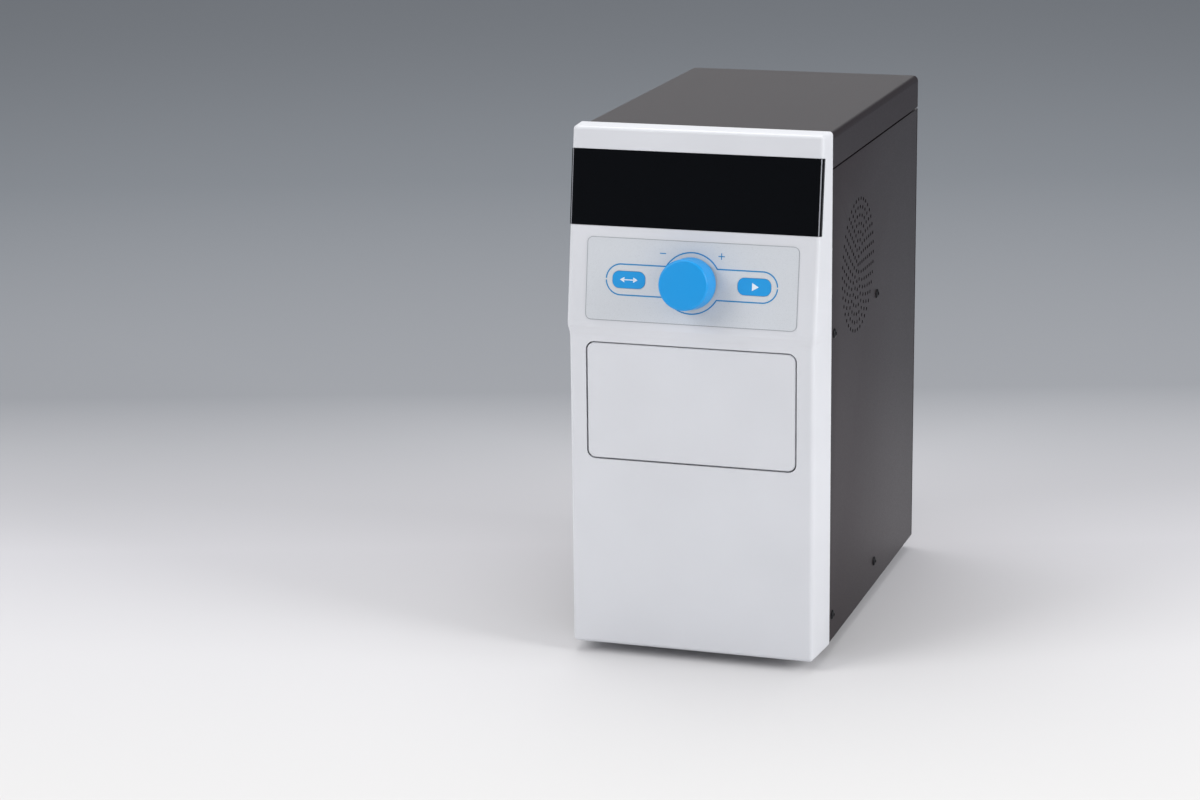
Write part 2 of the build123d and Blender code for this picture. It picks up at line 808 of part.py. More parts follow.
# Mechanism frame: two upright plates with a foot flange
frame_headroom = 16.0
frame_corner = 8.0
window_corner = 8.0
window_side_margin = 30.0
lower_window_height = 29.0
lower_window_pitch = 40.5
plate_window_margin = 5.0
plate_window_height = 34.0
flange_width = 9.0
flange_end_gap = 2.0
deck_screw_spacing = 20.0
deck_screw_setback = 12.0
fan_size = 80.0
fan_depth = 10.0
fan_bore_radius = 37.5
press_center_y = nest_center_y
frame_top_z = press_deck_top + frame_headroom
frame_middle_y = (frame_front_y + frame_rear_y) / 2
flange_front_y = base_front_y + base_sheet + flange_end_gap
deck_screw_places = (
    (press_center_y - deck_screw_spacing, press_deck_bottom + press_deck_thickness / 2),
    (press_center_y, press_deck_bottom + press_deck_thickness / 2),
    (frame_front_y + deck_screw_setback, deck_bottom + deck_thickness / 2),
    (frame_rear_y - deck_screw_setback, deck_bottom + deck_thickness / 2),
)
lower_window = cut_corners(frame_plate_depth - 2 * window_side_margin, lower_window_height, window_corner)
plate_window = cut_corners(nest_depth - 2 * plate_window_margin, plate_window_height, window_corner)


def frame_plate(side):
    """An upright plate with windows, a fan opening and a foot flange."""
    with BuildPart() as plate:
        with BuildSketch(Plane.YZ.offset(side * frame_inner_x)) as outline:
            with Locations((frame_middle_y, base_top)):
                Rectangle(frame_plate_depth, frame_top_z - base_top, align=(Align.CENTER, Align.MIN))
            chamfer(outline.vertices().group_by(Axis.Y)[-1], frame_corner)
            with Locations((frame_middle_y, (base_top + deck_bottom) / 2)):
                with GridLocations(0, lower_window_pitch, 1, 2):
                    add(lower_window, mode=Mode.SUBTRACT)
            with Locations((nest_center_y, (nest_top + platen_bottom) / 2)):
                add(plate_window, mode=Mode.SUBTRACT)
            if side > 0:
                with Locations((vent_y, vent_z)):
                    Circle(fan_bore_radius, mode=Mode.SUBTRACT)
            # room for the base plate's front flange
            with Locations((frame_front_y - flange_end_gap, base_top - flange_end_gap)):
                Rectangle(
                    flange_front_y - frame_front_y + flange_end_gap,
                    base_flange + 2 * flange_end_gap,
                    align=(Align.MIN, Align.MIN),
                    mode=Mode.SUBTRACT,
                )
        extrude(amount=side * frame_plate_thickness)
        with BuildSketch(Plane.XY.offset(base_top)):
            with Locations((side * frame_outer_x, flange_front_y)):
                Rectangle(
                    flange_width,
                    frame_rear_y - flange_end_gap - flange_front_y,
                    align=(Align.MIN if side > 0 else Align.MAX, Align.MIN),
                )
        extrude(amount=frame_plate_thickness)
    return plate.part


with BuildPart() as left_frame_plate:
    add(frame_plate(-1))
left_frame_plate.part.label = "left_frame_plate"
export_step(left_frame_plate.part, "parts/left_frame_plate.step")

with BuildPart() as right_frame_plate:
    add(frame_plate(1))
right_frame_plate.part.label = "right_frame_plate"
export_step(right_frame_plate.part, "parts/right_frame_plate.step")

# Posts between the frame plates and the side panels' upper screws
panel_post_radius = 4.5
with BuildPart() as panel_posts:
    for side in (-1, 1):
        for y in (side_screw_front_y, side_screw_rear_y):
            with BuildSketch(facing(side * frame_outer_x, y, side_screw_high_z, (side, 0, 0))):
                RegularPolygon(panel_post_radius, 6)
            extrude(amount=side_bay)
panel_posts.part.label = "panel_posts"
export_step(panel_posts.part, "parts/panel_posts.step")

# Deck that carries the drawer's rails
rail_spacing = 104.0
rail_width = 12.0
rail_height = 8.0
rail_notch = 1.2
rail_waist = 4.5
pinion_teeth = 16
gear_module = 1.5
motor_boss_radius = 6.0
motor_shaft_radius = 3.0
deck_overhang = 1.0
deck_corner = 3.0
deck_window_setback = 30.0
deck_window_width = 34.0
deck_window_depth = 30.0
deck_window_corner = 6.0
deck_window = cut_corners(deck_window_width, deck_window_depth, deck_window_corner)
with BuildPart() as slide_deck:
    with BuildSketch(Plane.XY.offset(deck_bottom)) as deck_outline:
        with Locations((0, rail_front_y - deck_overhang)):
            Rectangle(
                2 * frame_inner_x,
                rail_rear_y - rail_front_y + 2 * deck_overhang,
                align=(Align.CENTER, Align.MIN),
            )
        chamfer(deck_outline.vertices(), deck_corner)
        with Locations((0, pinion_y)):
            RegularPolygon(motor_boss_radius + seat_clearance, turned_sides, mode=Mode.SUBTRACT)
        with Locations((0, rail_rear_y - deck_window_setback)):
            add(deck_window, mode=Mode.SUBTRACT)
    extrude(amount=deck_thickness)
slide_deck.part.label = "slide_deck"
export_step(slide_deck.part, "parts/slide_deck.step")


def rail_section(grow):
    """Cross-section of a grooved rail about its foot, widened by grow."""
    half = rail_width / 2 + grow
    depth = rail_notch
    with BuildSketch() as section:
        with BuildLine():
            Polyline(
                (-half, 0),
                (-half, rail_waist - depth),
                (-half + depth, rail_waist),
                (-half, rail_waist + depth),
                (-half, rail_height + grow),
                (half, rail_height + grow),
                (half, rail_waist + depth),
                (half - depth, rail_waist),
                (half, rail_waist - depth),
                (half, 0),
                close=True,
            )
        make_face()
    return section.sketch


rail_profile = rail_section(0)
block_channel = rail_section(running_clearance)
with BuildPart() as drawer_rails:
    for side in (-1, 1):
        with BuildSketch(upright(side * rail_spacing / 2, rail_front_y, deck_top)):
            add(rail_profile)
        extrude(amount=-(rail_rear_y - rail_front_y))
drawer_rails.part.label = "drawer_rails"
export_step(drawer_rails.part, "parts/drawer_rails.step")

# Fixed anvils that take the press load just under the tray
anvil_width = 11.0
anvil_spacing = 64.0
anvil_length = 82.0
with BuildPart() as press_anvils:
    with BuildSketch(Plane.XY.offset(deck_top)):
        with Locations((0, nest_center_y)):
            with GridLocations(anvil_spacing, 0, 2, 1):
                Rectangle(anvil_width, anvil_length)
    extrude(amount=slide_height - seat_clearance)
press_anvils.part.label = "press_anvils"
export_step(press_anvils.part, "parts/press_anvils.step")

# Drawer motor: gearbox under the deck with the motor below it
gearbox_width = 36.0
gearbox_corner = 4.0
gearbox_height = 24.0
drive_motor_radius = 14.0
drive_motor_height = 34.0
motor_boss_height = 2.0
motor_bore_depth = 16.0
gearbox_plan = cut_corners(gearbox_width, gearbox_width, gearbox_corner)
with BuildPart() as drawer_motor:
    with BuildSketch(Plane.XY.offset(deck_bottom)):
        with Locations((0, pinion_y)):
            RegularPolygon(motor_boss_radius, turned_sides)
    extrude(amount=motor_boss_height)
    with BuildSketch(Plane.XY.offset(deck_bottom)):
        with Locations((0, pinion_y)):
            add(gearbox_plan)
    extrude(amount=-gearbox_height)
    with BuildSketch(Plane.XY.offset(deck_bottom - gearbox_height)):
        with Locations((0, pinion_y)):
            RegularPolygon(drive_motor_radius, turned_sides)
    extrude(amount=-drive_motor_height)
    with Locations(facing(0, pinion_y, deck_bottom + motor_boss_height, (0, 0, 1))):
        Hole(motor_shaft_radius + running_clearance, depth=motor_bore_depth)
drawer_motor.part.label = "drawer_motor"
export_step(drawer_motor.part, "parts/drawer_motor.step")

# Rack and pinion with involute teeth
pressure_angle = math.radians(20)
addendum_share = 0.95
dedendum_share = 1.25
backlash = 0.12
pinion_over_deck = 2.0
pinion_under_tray = 1.0
pinion_shaft_length = 10.0
rack_lift = 1.0
rack_width = 9.0
addendum = gear_module * addendum_share
dedendum = gear_module * dedendum_share
tooth_pitch = math.pi * gear_module
pitch_radius = gear_module * pinion_teeth / 2
base_circle = pitch_radius * math.cos(pressure_angle)
tip_radius = pitch_radius + addendum
root_radius = pitch_radius - dedendum
pinion_bottom = deck_top + pinion_over_deck
pinion_top = tray_bottom - pinion_under_tray
rack_bottom = pinion_bottom + rack_lift


def involute_angle(radius):
    """How far round the involute has turned where it meets a radius."""
    slope = math.acos(base_circle / radius)
    return math.tan(slope) - slope


def flank_point(radius, side, tooth_angle):
    """A point of one flank, side -1 or 1 of the tooth at tooth_angle."""
    half_tooth = (tooth_pitch / 2 - backlash / 2) / (2 * pitch_radius)
    spread = half_tooth + involute_angle(pitch_radius) - involute_angle(max(radius, base_circle))
    angle = tooth_angle + side * spread
    return (radius * math.cos(angle), radius * math.sin(angle))


with BuildPart() as drive_pinion:
    with BuildSketch(Plane(origin=(0, pinion_y, pinion_bottom))):
        with BuildLine():
            outline = []
            for tooth in range(pinion_teeth):
                tooth_angle = tooth * 2 * math.pi / pinion_teeth
                for radius in (root_radius, pitch_radius, tip_radius):
                    outline.append(flank_point(radius, -1, tooth_angle))
                for radius in (tip_radius, pitch_radius, root_radius):
                    outline.append(flank_point(radius, 1, tooth_angle))
            Polyline(*outline, close=True)
        make_face()
    extrude(amount=pinion_top - pinion_bottom)
    with BuildSketch(Plane(origin=(0, pinion_y, deck_bottom - pinion_shaft_length))):
        Circle(motor_shaft_radius)
    extrude(amount=pinion_bottom - deck_bottom + pinion_shaft_length)
drive_pinion.part.label = "drive_pinion"
export_step(drive_pinion.part, "parts/drive_pinion.step")

rack_teeth = math.floor((rack_rear_y - rack_front_y) / tooth_pitch) - 1
rack_teeth_before = math.floor((pinion_y - rack_front_y) / tooth_pitch - 1 / 2)
rack_first_y = pinion_y - rack_teeth_before * tooth_pitch
rack_back_x = pitch_radius + rack_width
rack_tip_x = pitch_radius - addendum
rack_root_x = pitch_radius + dedendum
rack_half_tooth = (tooth_pitch - backlash) / 4
tooth_tip = rack_half_tooth - addendum * math.tan(pressure_angle)
tooth_foot = rack_half_tooth + dedendum * math.tan(pressure_angle)
with BuildPart() as drawer_rack:
    with BuildSketch(Plane.XY.offset(rack_bottom)):
        with BuildLine():
            outline = [(rack_back_x, rack_front_y), (rack_root_x, rack_front_y)]
            for tooth in range(rack_teeth):
                middle = rack_first_y + (tooth + 1 / 2) * tooth_pitch
                outline.append((rack_root_x, middle - tooth_foot))
                outline.append((rack_tip_x, middle - tooth_tip))
                outline.append((rack_tip_x, middle + tooth_tip))
                outline.append((rack_root_x, middle + tooth_foot))
            outline.append((rack_root_x, rack_rear_y))
            outline.append((rack_back_x, rack_rear_y))
            Polyline(*outline, close=True)
        make_face()
    extrude(amount=tray_bottom - rack_bottom)
drawer_rack.part.label = "drawer_rack"
export_step(drawer_rack.part, "parts/drawer_rack.step")

# Slide blocks that wrap the rails, fixed under the tray's rear half
slide_block_width = 27.0
block_clearance_under = 3.0
with BuildPart() as slide_blocks:
    for side in (-1, 1):
        for y in (front_block_y, rear_block_y):
            with BuildSketch(upright(side * rail_spacing / 2, y - slide_block_length / 2, deck_top)):
                with Locations((0, block_clearance_under)):
                    Rectangle(
                        slide_block_width,
                        slide_height - block_clearance_under,
                        align=(Align.CENTER, Align.MIN),
                    )
                add(block_channel, mode=Mode.SUBTRACT)
            extrude(amount=-slide_block_length)
slide_blocks.part.label = "slide_blocks"
export_step(slide_blocks.part, "parts/slide_blocks.step")

# Tray: a long plate whose tail carries the rack
tray_setback = 6.0
tray_overrun = 2.0
tray_corner = 4.0
tail_width = 30.0
tray_window_x = -34.0
tray_window_width = 27.0
tray_window_margin = 18.0
tray_window_corner = 6.0
tray_front_y = front_y + tray_setback
tray_shoulder_y = rear_block_y + slide_block_length / 2 + tray_overrun
tray_window = cut_corners(
    tray_window_width,
    tray_shoulder_y - nest_rear_y - 2 * tray_window_margin,
    tray_window_corner,
)
with BuildPart() as drawer_tray:
    with BuildSketch(Plane.XY.offset(tray_bottom)) as tray_plan:
        with Locations((0, tray_front_y)):
            Rectangle(nest_width, tray_shoulder_y - tray_front_y, align=(Align.CENTER, Align.MIN))
        with Locations((pitch_radius, tray_shoulder_y)):
            Rectangle(tail_width, rack_rear_y - tray_shoulder_y, align=(Align.CENTER, Align.MIN))
        chamfer(tray_plan.vertices(), tray_corner)
        with Locations((tray_window_x, (nest_rear_y + tray_shoulder_y) / 2)):
            add(tray_window, mode=Mode.SUBTRACT)
    extrude(amount=tray_thickness)
drawer_tray.part.label = "drawer_tray"
export_step(drawer_tray.part, "parts/drawer_tray.step")

# Drawer front: a moulded panel with a rim behind, flush in the bezel
door_face = 3.0
door_edge = 0.6
door_rim_depth = 8.0
door_rim_wall = 2.0
door_pad = 8.0
door_pad_spacing_x = 90.0
door_pad_spacing_z = 30.0
door_pad_rise = 25.0
tray_side_gap = 1.0
bracket_thickness = 2.0
door_width = opening_width - 2 * door_gap
door_height = opening_height - 2 * door_gap
door_radius = opening_radius - door_gap
bracket_back_y = front_y + door_rim_depth - seat_clearance
door_room = cut_corners(
    door_width - 2 * door_rim_wall,
    door_height - 2 * door_rim_wall,
    door_rim_wall,
)
with BuildPart() as drawer_door:
    with BuildSketch(Plane.XZ.offset(-front_y)):
        with Locations((0, opening_center_z)):
            RectangleRounded(door_width, door_height, door_radius)
    extrude(amount=-door_rim_depth)
    with BuildSketch(Plane.XZ.offset(-front_y - door_face)):
        with Locations((0, opening_center_z)):
            add(door_room)
    extrude(amount=-door_rim_depth, mode=Mode.SUBTRACT)
    chamfer(drawer_door.faces().sort_by(Axis.Y)[0].edges(), door_edge)
    # pads that the bracket is fastened to
    with BuildSketch(Plane.XZ.offset(-front_y - door_face / 2)):
        with Locations((0, tray_top + bracket_thickness + door_pad_rise)):
            with GridLocations(door_pad_spacing_x, door_pad_spacing_z, 2, 2):
                Rectangle(door_pad, door_pad)
    extrude(amount=-(bracket_back_y - front_y - door_face / 2))
    # the tray and its bracket pass through the rim's lower wall
    with BuildSketch(Plane.XZ.offset(-front_y - door_face)):
        with Locations((0, opening_bottom)):
            Rectangle(
                nest_width + 2 * tray_side_gap,
                tray_top + bracket_thickness + seat_clearance - opening_bottom,
                align=(Align.CENTER, Align.MIN),
            )
    extrude(amount=-door_rim_depth, mode=Mode.SUBTRACT)
drawer_door.part.label = "drawer_door"
export_step(drawer_door.part, "parts/drawer_door.step")

# Angle bracket between the tray and the drawer front
bracket_width = 118.0
bracket_height = 52.0
bracket_corner = 6.0
bracket_window_width = 68.0
bracket_window_height = 28.0
bracket_rear_y = nest_front_y - seat_clearance
bracket_window = cut_corners(bracket_window_width, bracket_window_height, bracket_corner)
with BuildPart() as door_bracket:
    with BuildSketch(Plane.YZ.offset(-bracket_width / 2)):
        with BuildLine():
            Polyline(
                (bracket_back_y, tray_top),
                (bracket_rear_y, tray_top),
                (bracket_rear_y, tray_top + bracket_thickness),
                (bracket_back_y + bracket_thickness, tray_top + bracket_thickness),
                (bracket_back_y + bracket_thickness, tray_top + bracket_height),
                (bracket_back_y, tray_top + bracket_height),
                close=True,
            )
        make_face()
    extrude(amount=bracket_width)
    with BuildSketch(Plane.XZ.offset(-bracket_back_y)):
        with Locations((0, tray_top + (bracket_height + bracket_thickness) / 2)):
            add(bracket_window)
    extrude(amount=-bracket_thickness, mode=Mode.SUBTRACT)
    chamfer(door_bracket.faces().sort_by(Axis.Z)[-1].edges().filter_by(Axis.Y), bracket_corner)
door_bracket.part.label = "door_bracket"
export_step(door_bracket.part, "parts/door_bracket.step")

# Nest: a block with a pocket for the plate's skirt and finger cut-outs
nest_corner = 2.5
side_cut_out = 40.0
front_cut_out = 58.0
with BuildPart() as plate_nest:
    with BuildSketch(Plane.XY.offset(tray_top)) as nest_plan:
        with Locations((0, nest_center_y)):
            Rectangle(nest_width, nest_depth)
        chamfer(nest_plan.vertices(), nest_corner)
    extrude(amount=nest_top - tray_top)
    with BuildSketch(Plane.XY.offset(nest_top)):
        with Locations((0, nest_center_y)):
            Rectangle(pocket_width, pocket_depth)
            Rectangle(nest_width, side_cut_out)
            Rectangle(front_cut_out, nest_depth)
    extrude(amount=-(nest_top - pocket_floor), mode=Mode.SUBTRACT)
plate_nest.part.label = "plate_nest"
export_step(plate_nest.part, "parts/plate_nest.step")

# Silicone pad that the plate stands on
pad_gap = 0.5
with BuildPart() as nest_pad:
    with BuildSketch(Plane.XY.offset(pocket_floor)):
        with Locations((0, nest_center_y)):
            Rectangle(pocket_width - 2 * pad_gap, pocket_depth - 2 * pad_gap)
    extrude(amount=pad_thickness)
nest_pad.part.label = "nest_pad"
export_step(nest_pad.part, "parts/nest_pad.step")

# Press deck, across the top of the two frame plates
rod_radius = 5.0
rod_spacing = 104.0
bush_radius = 8.0
bush_drop = 10.0
bush_rise = 3.0
nut_radius = 7.0
press_deck_depth = 84.0
press_deck_corner = 2.0
with BuildPart() as press_deck:
    with BuildSketch(Plane.XY.offset(press_deck_bottom)) as press_deck_plan:
        with Locations((0, press_center_y)):
            Rectangle(2 * frame_inner_x, press_deck_depth)
        chamfer(press_deck_plan.vertices(), press_deck_corner)
        with Locations((0, press_center_y)):
            Circle(nut_radius + seat_clearance, mode=Mode.SUBTRACT)
            with GridLocations(rod_spacing, 0, 2, 1):
                RegularPolygon(bush_radius, turned_sides, mode=Mode.SUBTRACT)
    extrude(amount=press_deck_thickness)
press_deck.part.label = "press_deck"
export_step(press_deck.part, "parts/press_deck.step")

with BuildPart() as rod_bushes:
    with BuildSketch(Plane.XY.offset(press_deck_bottom - bush_drop)):
        with Locations((0, press_center_y)):
            with GridLocations(rod_spacing, 0, 2, 1):
                RegularPolygon(bush_radius, turned_sides)
                Circle(rod_radius + running_clearance, mode=Mode.SUBTRACT)
    extrude(amount=bush_drop + press_deck_thickness + bush_rise)
rod_bushes.part.label = "rod_bushes"
export_step(rod_bushes.part, "parts/rod_bushes.step")

# Press motor with a turning nut inside and a screw that rises through it
press_motor_size = 42.3
press_motor_corner = 5.0
press_motor_height = 38.0
nut_flange_radius = 10.0
nut_flange = 3.0
screw_outer_radius = 4.0
screw_flange_radius = 9.0
screw_flange = 4.0
screw_over_nut = 4.0
motor_top = press_deck_top + press_motor_height
nut_top = motor_top + seat_clearance + nut_flange
screw_top = nut_top + press_travel - press_motor_height / 2 + screw_over_nut
motor_plan = cut_corners(press_motor_size, press_motor_size, press_motor_corner)
with BuildPart() as press_motor:
    with BuildSketch(Plane.XY.offset(press_deck_top)):
        with Locations((0, press_center_y)):
            add(motor_plan)
            Circle(nut_radius + running_clearance, mode=Mode.SUBTRACT)
    extrude(amount=press_motor_height)
press_motor.part.label = "press_motor"
export_step(press_motor.part, "parts/press_motor.step")

with BuildPart() as drive_nut:
    with BuildSketch(Plane.XY.offset(press_deck_top)):
        with Locations((0, press_center_y)):
            Circle(nut_radius)
            Circle(screw_outer_radius + running_clearance, mode=Mode.SUBTRACT)
    extrude(amount=press_motor_height + seat_clearance)
    with BuildSketch(Plane.XY.offset(motor_top + seat_clearance)):
        with Locations((0, press_center_y)):
            RegularPolygon(nut_flange_radius, 6)
            Circle(screw_outer_radius + running_clearance, mode=Mode.SUBTRACT)
    extrude(amount=nut_flange)
drive_nut.part.label = "drive_nut"
export_step(drive_nut.part, "parts/drive_nut.step")

with BuildPart() as lead_screw:
    with BuildSketch(Plane.XY.offset(press_plate_top)):
        with Locations((0, press_center_y)):
            RegularPolygon(screw_flange_radius, turned_sides)
    extrude(amount=screw_flange)
    with BuildSketch(Plane.XY.offset(press_plate_top + screw_flange)):
        with Locations((0, press_center_y)):
            Circle(screw_outer_radius)
    extrude(amount=screw_top - press_plate_top - screw_flange)
lead_screw.part.label = "lead_screw"
export_step(lead_screw.part, "parts/lead_screw.step")

# Press plate, guide rods, springs and the heated platen that floats below
bolt_spacing_x = 56.0
bolt_spacing_y = 70.0
bolt_radius = 3.0
bolt_head_radius = 5.5
bolt_head_height = 5.0
platen_width = 132.0
platen_depth = 92.0
platen_corner = 3.0
insulation_depth = 60.0
press_plate_width = 126.0
press_plate_corner = 6.0
press_window_width = 34.0
press_window_depth = 18.0
press_window_corner = 5.0
press_window_spacing = 54.0
rod_over_bush = 6.0
rod_top = press_deck_top + bush_rise + press_travel + rod_over_bush
press_window = cut_corners(press_window_width, press_window_depth, press_window_corner)
with BuildPart() as press_plate:
    with BuildSketch(Plane.XY.offset(press_plate_bottom)) as press_plan:
        with Locations((0, press_center_y)):
            Rectangle(press_plate_width, press_deck_depth)
        chamfer(press_plan.vertices(), press_plate_corner)
        with Locations((0, press_center_y)):
            with GridLocations(bolt_spacing_x, bolt_spacing_y, 2, 2):
                RegularPolygon(bolt_radius + running_clearance, turned_sides, mode=Mode.SUBTRACT)
            with GridLocations(0, press_window_spacing, 1, 2):
                add(press_window, mode=Mode.SUBTRACT)
    extrude(amount=press_plate_thickness)
press_plate.part.label = "press_plate"
export_step(press_plate.part, "parts/press_plate.step")

with BuildPart() as guide_rods:
    with BuildSketch(Plane.XY.offset(press_plate_top)):
        with Locations((0, press_center_y)):
            with GridLocations(rod_spacing, 0, 2, 1):
                Circle(rod_radius)
    extrude(amount=rod_top - press_plate_top)
guide_rods.part.label = "guide_rods"
export_step(guide_rods.part, "parts/guide_rods.step")

heater_count = 2
heater_radius = 4.0
heater_pitch = 40.0
heater_proud = 3.0
with BuildPart() as heater_platen:
    with BuildSketch(Plane.XY.offset(platen_bottom)) as platen_plan:
        with Locations((0, press_center_y)):
            Rectangle(platen_width, platen_depth)
        chamfer(platen_plan.vertices(), platen_corner)
    extrude(amount=platen_thickness)
    with BuildSketch(Plane.YZ.offset(-platen_width)):
        with Locations((press_center_y, platen_bottom + platen_thickness / 2)):
            with GridLocations(heater_pitch, 0, heater_count, 1):
                RegularPolygon(heater_radius, turned_sides)
    extrude(amount=2 * platen_width, mode=Mode.SUBTRACT)
heater_platen.part.label = "heater_platen"
export_step(heater_platen.part, "parts/heater_platen.step")

with BuildPart() as cartridge_heaters:
    with BuildSketch(Plane.YZ.offset(-platen_width / 2)):
        with Locations((press_center_y, platen_bottom + platen_thickness / 2)):
            with GridLocations(heater_pitch, 0, heater_count, 1):
                RegularPolygon(heater_radius, turned_sides)
    extrude(amount=platen_width + heater_proud)
cartridge_heaters.part.label = "cartridge_heaters"
export_step(cartridge_heaters.part, "parts/cartridge_heaters.step")

with BuildPart() as insulation_board:
    with BuildSketch(Plane.XY.offset(platen_top)):
        with Locations((0, press_center_y)):
            Rectangle(platen_width, insulation_depth)
    extrude(amount=insulation_thickness)
insulation_board.part.label = "insulation_board"
export_step(insulation_board.part, "parts/insulation_board.step")

# Shoulder bolts that stand on the platen and slide in the press plate
with BuildPart() as shoulder_bolts:
    with BuildSketch(Plane.XY.offset(platen_top)):
        with Locations((0, press_center_y)):
            with GridLocations(bolt_spacing_x, bolt_spacing_y, 2, 2):
                RegularPolygon(bolt_radius, turned_sides)
    extrude(amount=press_plate_top - platen_top)
    with BuildSketch(Plane.XY.offset(press_plate_top)):
        with Locations((0, press_center_y)):
            with GridLocations(bolt_spacing_x, bolt_spacing_y, 2, 2):
                RegularPolygon(bolt_head_radius, 6)
    extrude(amount=bolt_head_height)
shoulder_bolts.part.label = "shoulder_bolts"
export_step(shoulder_bolts.part, "parts/shoulder_bolts.step")

# Springs between the insulation board and the press plate, each a coil of straight runs
spring_radius = 5.0
spring_wire = 1.4
spring_turns = 2
spring_sides = 6
spring_spacing_x = 56.0
spring_spacing_y = 40.0
spring_end_gap = 0.05
spring_rise = float_gap - spring_wire - 2 * spring_end_gap
spring_steps = spring_turns * spring_sides
spring_points = []
for step in range(spring_steps + 1):
    turn = step * 2 * math.pi / spring_sides
    spring_points.append((
        spring_radius * math.cos(turn),
        spring_radius * math.sin(turn),
        spring_rise * step / spring_steps,
    ))
with BuildPart() as coil_spring:
    with BuildLine() as coil:
        Polyline(*spring_points)
    with BuildSketch(Plane(origin=coil.line @ 0, z_dir=coil.line % 0)):
        Rectangle(spring_wire, spring_wire)
    sweep(path=coil.line, transition=Transition.RIGHT)
with BuildPart() as float_springs:
    with Locations((0, press_center_y, insulation_top + spring_wire / 2 + spring_end_gap)):
        with GridLocations(spring_spacing_x, spring_spacing_y, 2, 2):
            add(coil_spring.part)
float_springs.part.label = "float_springs"
export_step(float_springs.part, "parts/float_springs.step")

# Cooling fan behind the vent, on the right frame plate
fan_corner = 4.0
fan_hub_radius = 15.0
fan_blades = 7
fan_tip_gap = 1.0
fan_struts = 4
fan_strut_angle = 20.0
strut_width = 3.5
strut_overlap = 2.0
strut_depth = 1.6
blade_root_overlap = 1.5
blade_thickness = 1.1
blade_root_chord = 9.0
blade_root_pitch = 40.0
blade_tip_chord = 15.0
blade_tip_pitch = 24.0
fan_plane = facing(frame_outer_x, vent_y, vent_z, (1, 0, 0))
fan_outline = cut_corners(fan_size, fan_size, fan_corner)
with BuildPart() as fan_frame:
    with BuildSketch(fan_plane):
        add(fan_outline)
        Circle(fan_bore_radius, mode=Mode.SUBTRACT)
    extrude(amount=fan_depth)
    with BuildSketch(fan_plane):
        with PolarLocations((fan_hub_radius + fan_bore_radius) / 2, fan_struts, start_angle=fan_strut_angle):
            Rectangle(fan_bore_radius - fan_hub_radius + 2 * strut_overlap, strut_width)
        Circle(fan_hub_radius)
    extrude(amount=strut_depth)
fan_frame.part.label = "fan_frame"
export_step(fan_frame.part, "parts/fan_frame.step")

rotor_base = strut_depth + seat_clearance
rotor_depth = fan_depth - strut_depth - 2 * seat_clearance


def blade_station(reach, pitch, swing):
    """The plane across a blade at a distance from the hub's middle."""
    lean = math.radians(pitch)
    turn = math.radians(swing)
    outward = Vector(0, math.cos(turn), math.sin(turn))
    around = Vector(0, -math.sin(turn), math.cos(turn))
    middle = Vector(frame_outer_x + rotor_base + rotor_depth / 2, vent_y, vent_z)
    across = Vector(math.sin(lean), 0, 0) + around * math.cos(lean)
    return Plane(origin=middle + outward * reach, x_dir=across, z_dir=outward)


with BuildPart() as fan_rotor:
    with BuildSketch(fan_plane.offset(rotor_base)):
        Circle(fan_hub_radius)
    extrude(amount=rotor_depth)
    for blade in range(fan_blades):
        swing = blade * 360 / fan_blades
        with BuildSketch(blade_station(fan_hub_radius - blade_root_overlap, blade_root_pitch, swing)):
            Rectangle(blade_root_chord, blade_thickness)
        with BuildSketch(blade_station(fan_bore_radius - fan_tip_gap, blade_tip_pitch, swing)):
            Rectangle(blade_tip_chord, blade_thickness)
        loft(ruled=True)
fan_rotor.part.label = "fan_rotor"
export_step(fan_rotor.part, "parts/fan_rotor.step")

# Power supply on the base, behind the frame, with a step for its terminals
supply_width = 98.0
supply_rear_gap = 7.9
supply_height = 38.0
supply_x = 28.0
supply_setback = 4.0
supply_edge = 2.0
terminal_ledge_depth = 14.0
terminal_ledge_height = 12.0
terminal_ledge_margin = 5.0
terminals = 7
terminal_pitch = 10.0
terminal_width = 8.0
terminal_depth = 10.0
terminal_height = 9.0
supply_front_y = frame_rear_y + supply_setback
supply_depth = panel_rear_y - supply_rear_gap - supply_front_y
with BuildPart() as power_supply:
    with BuildSketch(Plane.XY.offset(base_top)):
        with Locations((supply_x, supply_front_y)):
            Rectangle(supply_width, supply_depth, align=(Align.CENTER, Align.MIN))
    extrude(amount=supply_height)
    chamfer(power_supply.faces().sort_by(Axis.Z)[-1].edges().filter_by(Axis.Y), supply_edge)
    with BuildSketch(Plane.XY.offset(base_top + supply_height)):
        with Locations((supply_x, supply_front_y)):
            Rectangle(
                supply_width - 2 * terminal_ledge_margin,
                terminal_ledge_depth,
                align=(Align.CENTER, Align.MIN),
            )
    extrude(amount=terminal_ledge_height - supply_height, mode=Mode.SUBTRACT)
    with BuildSketch(Plane.XY.offset(base_top + terminal_ledge_height)):
        with Locations((supply_x, supply_front_y + terminal_ledge_depth / 2)):
            with GridLocations(terminal_pitch, 0, terminals, 1):
                Rectangle(terminal_width, terminal_depth)
    extrude(amount=terminal_height)
power_supply.part.label = "power_supply"
export_step(power_supply.part, "parts/power_supply.step")

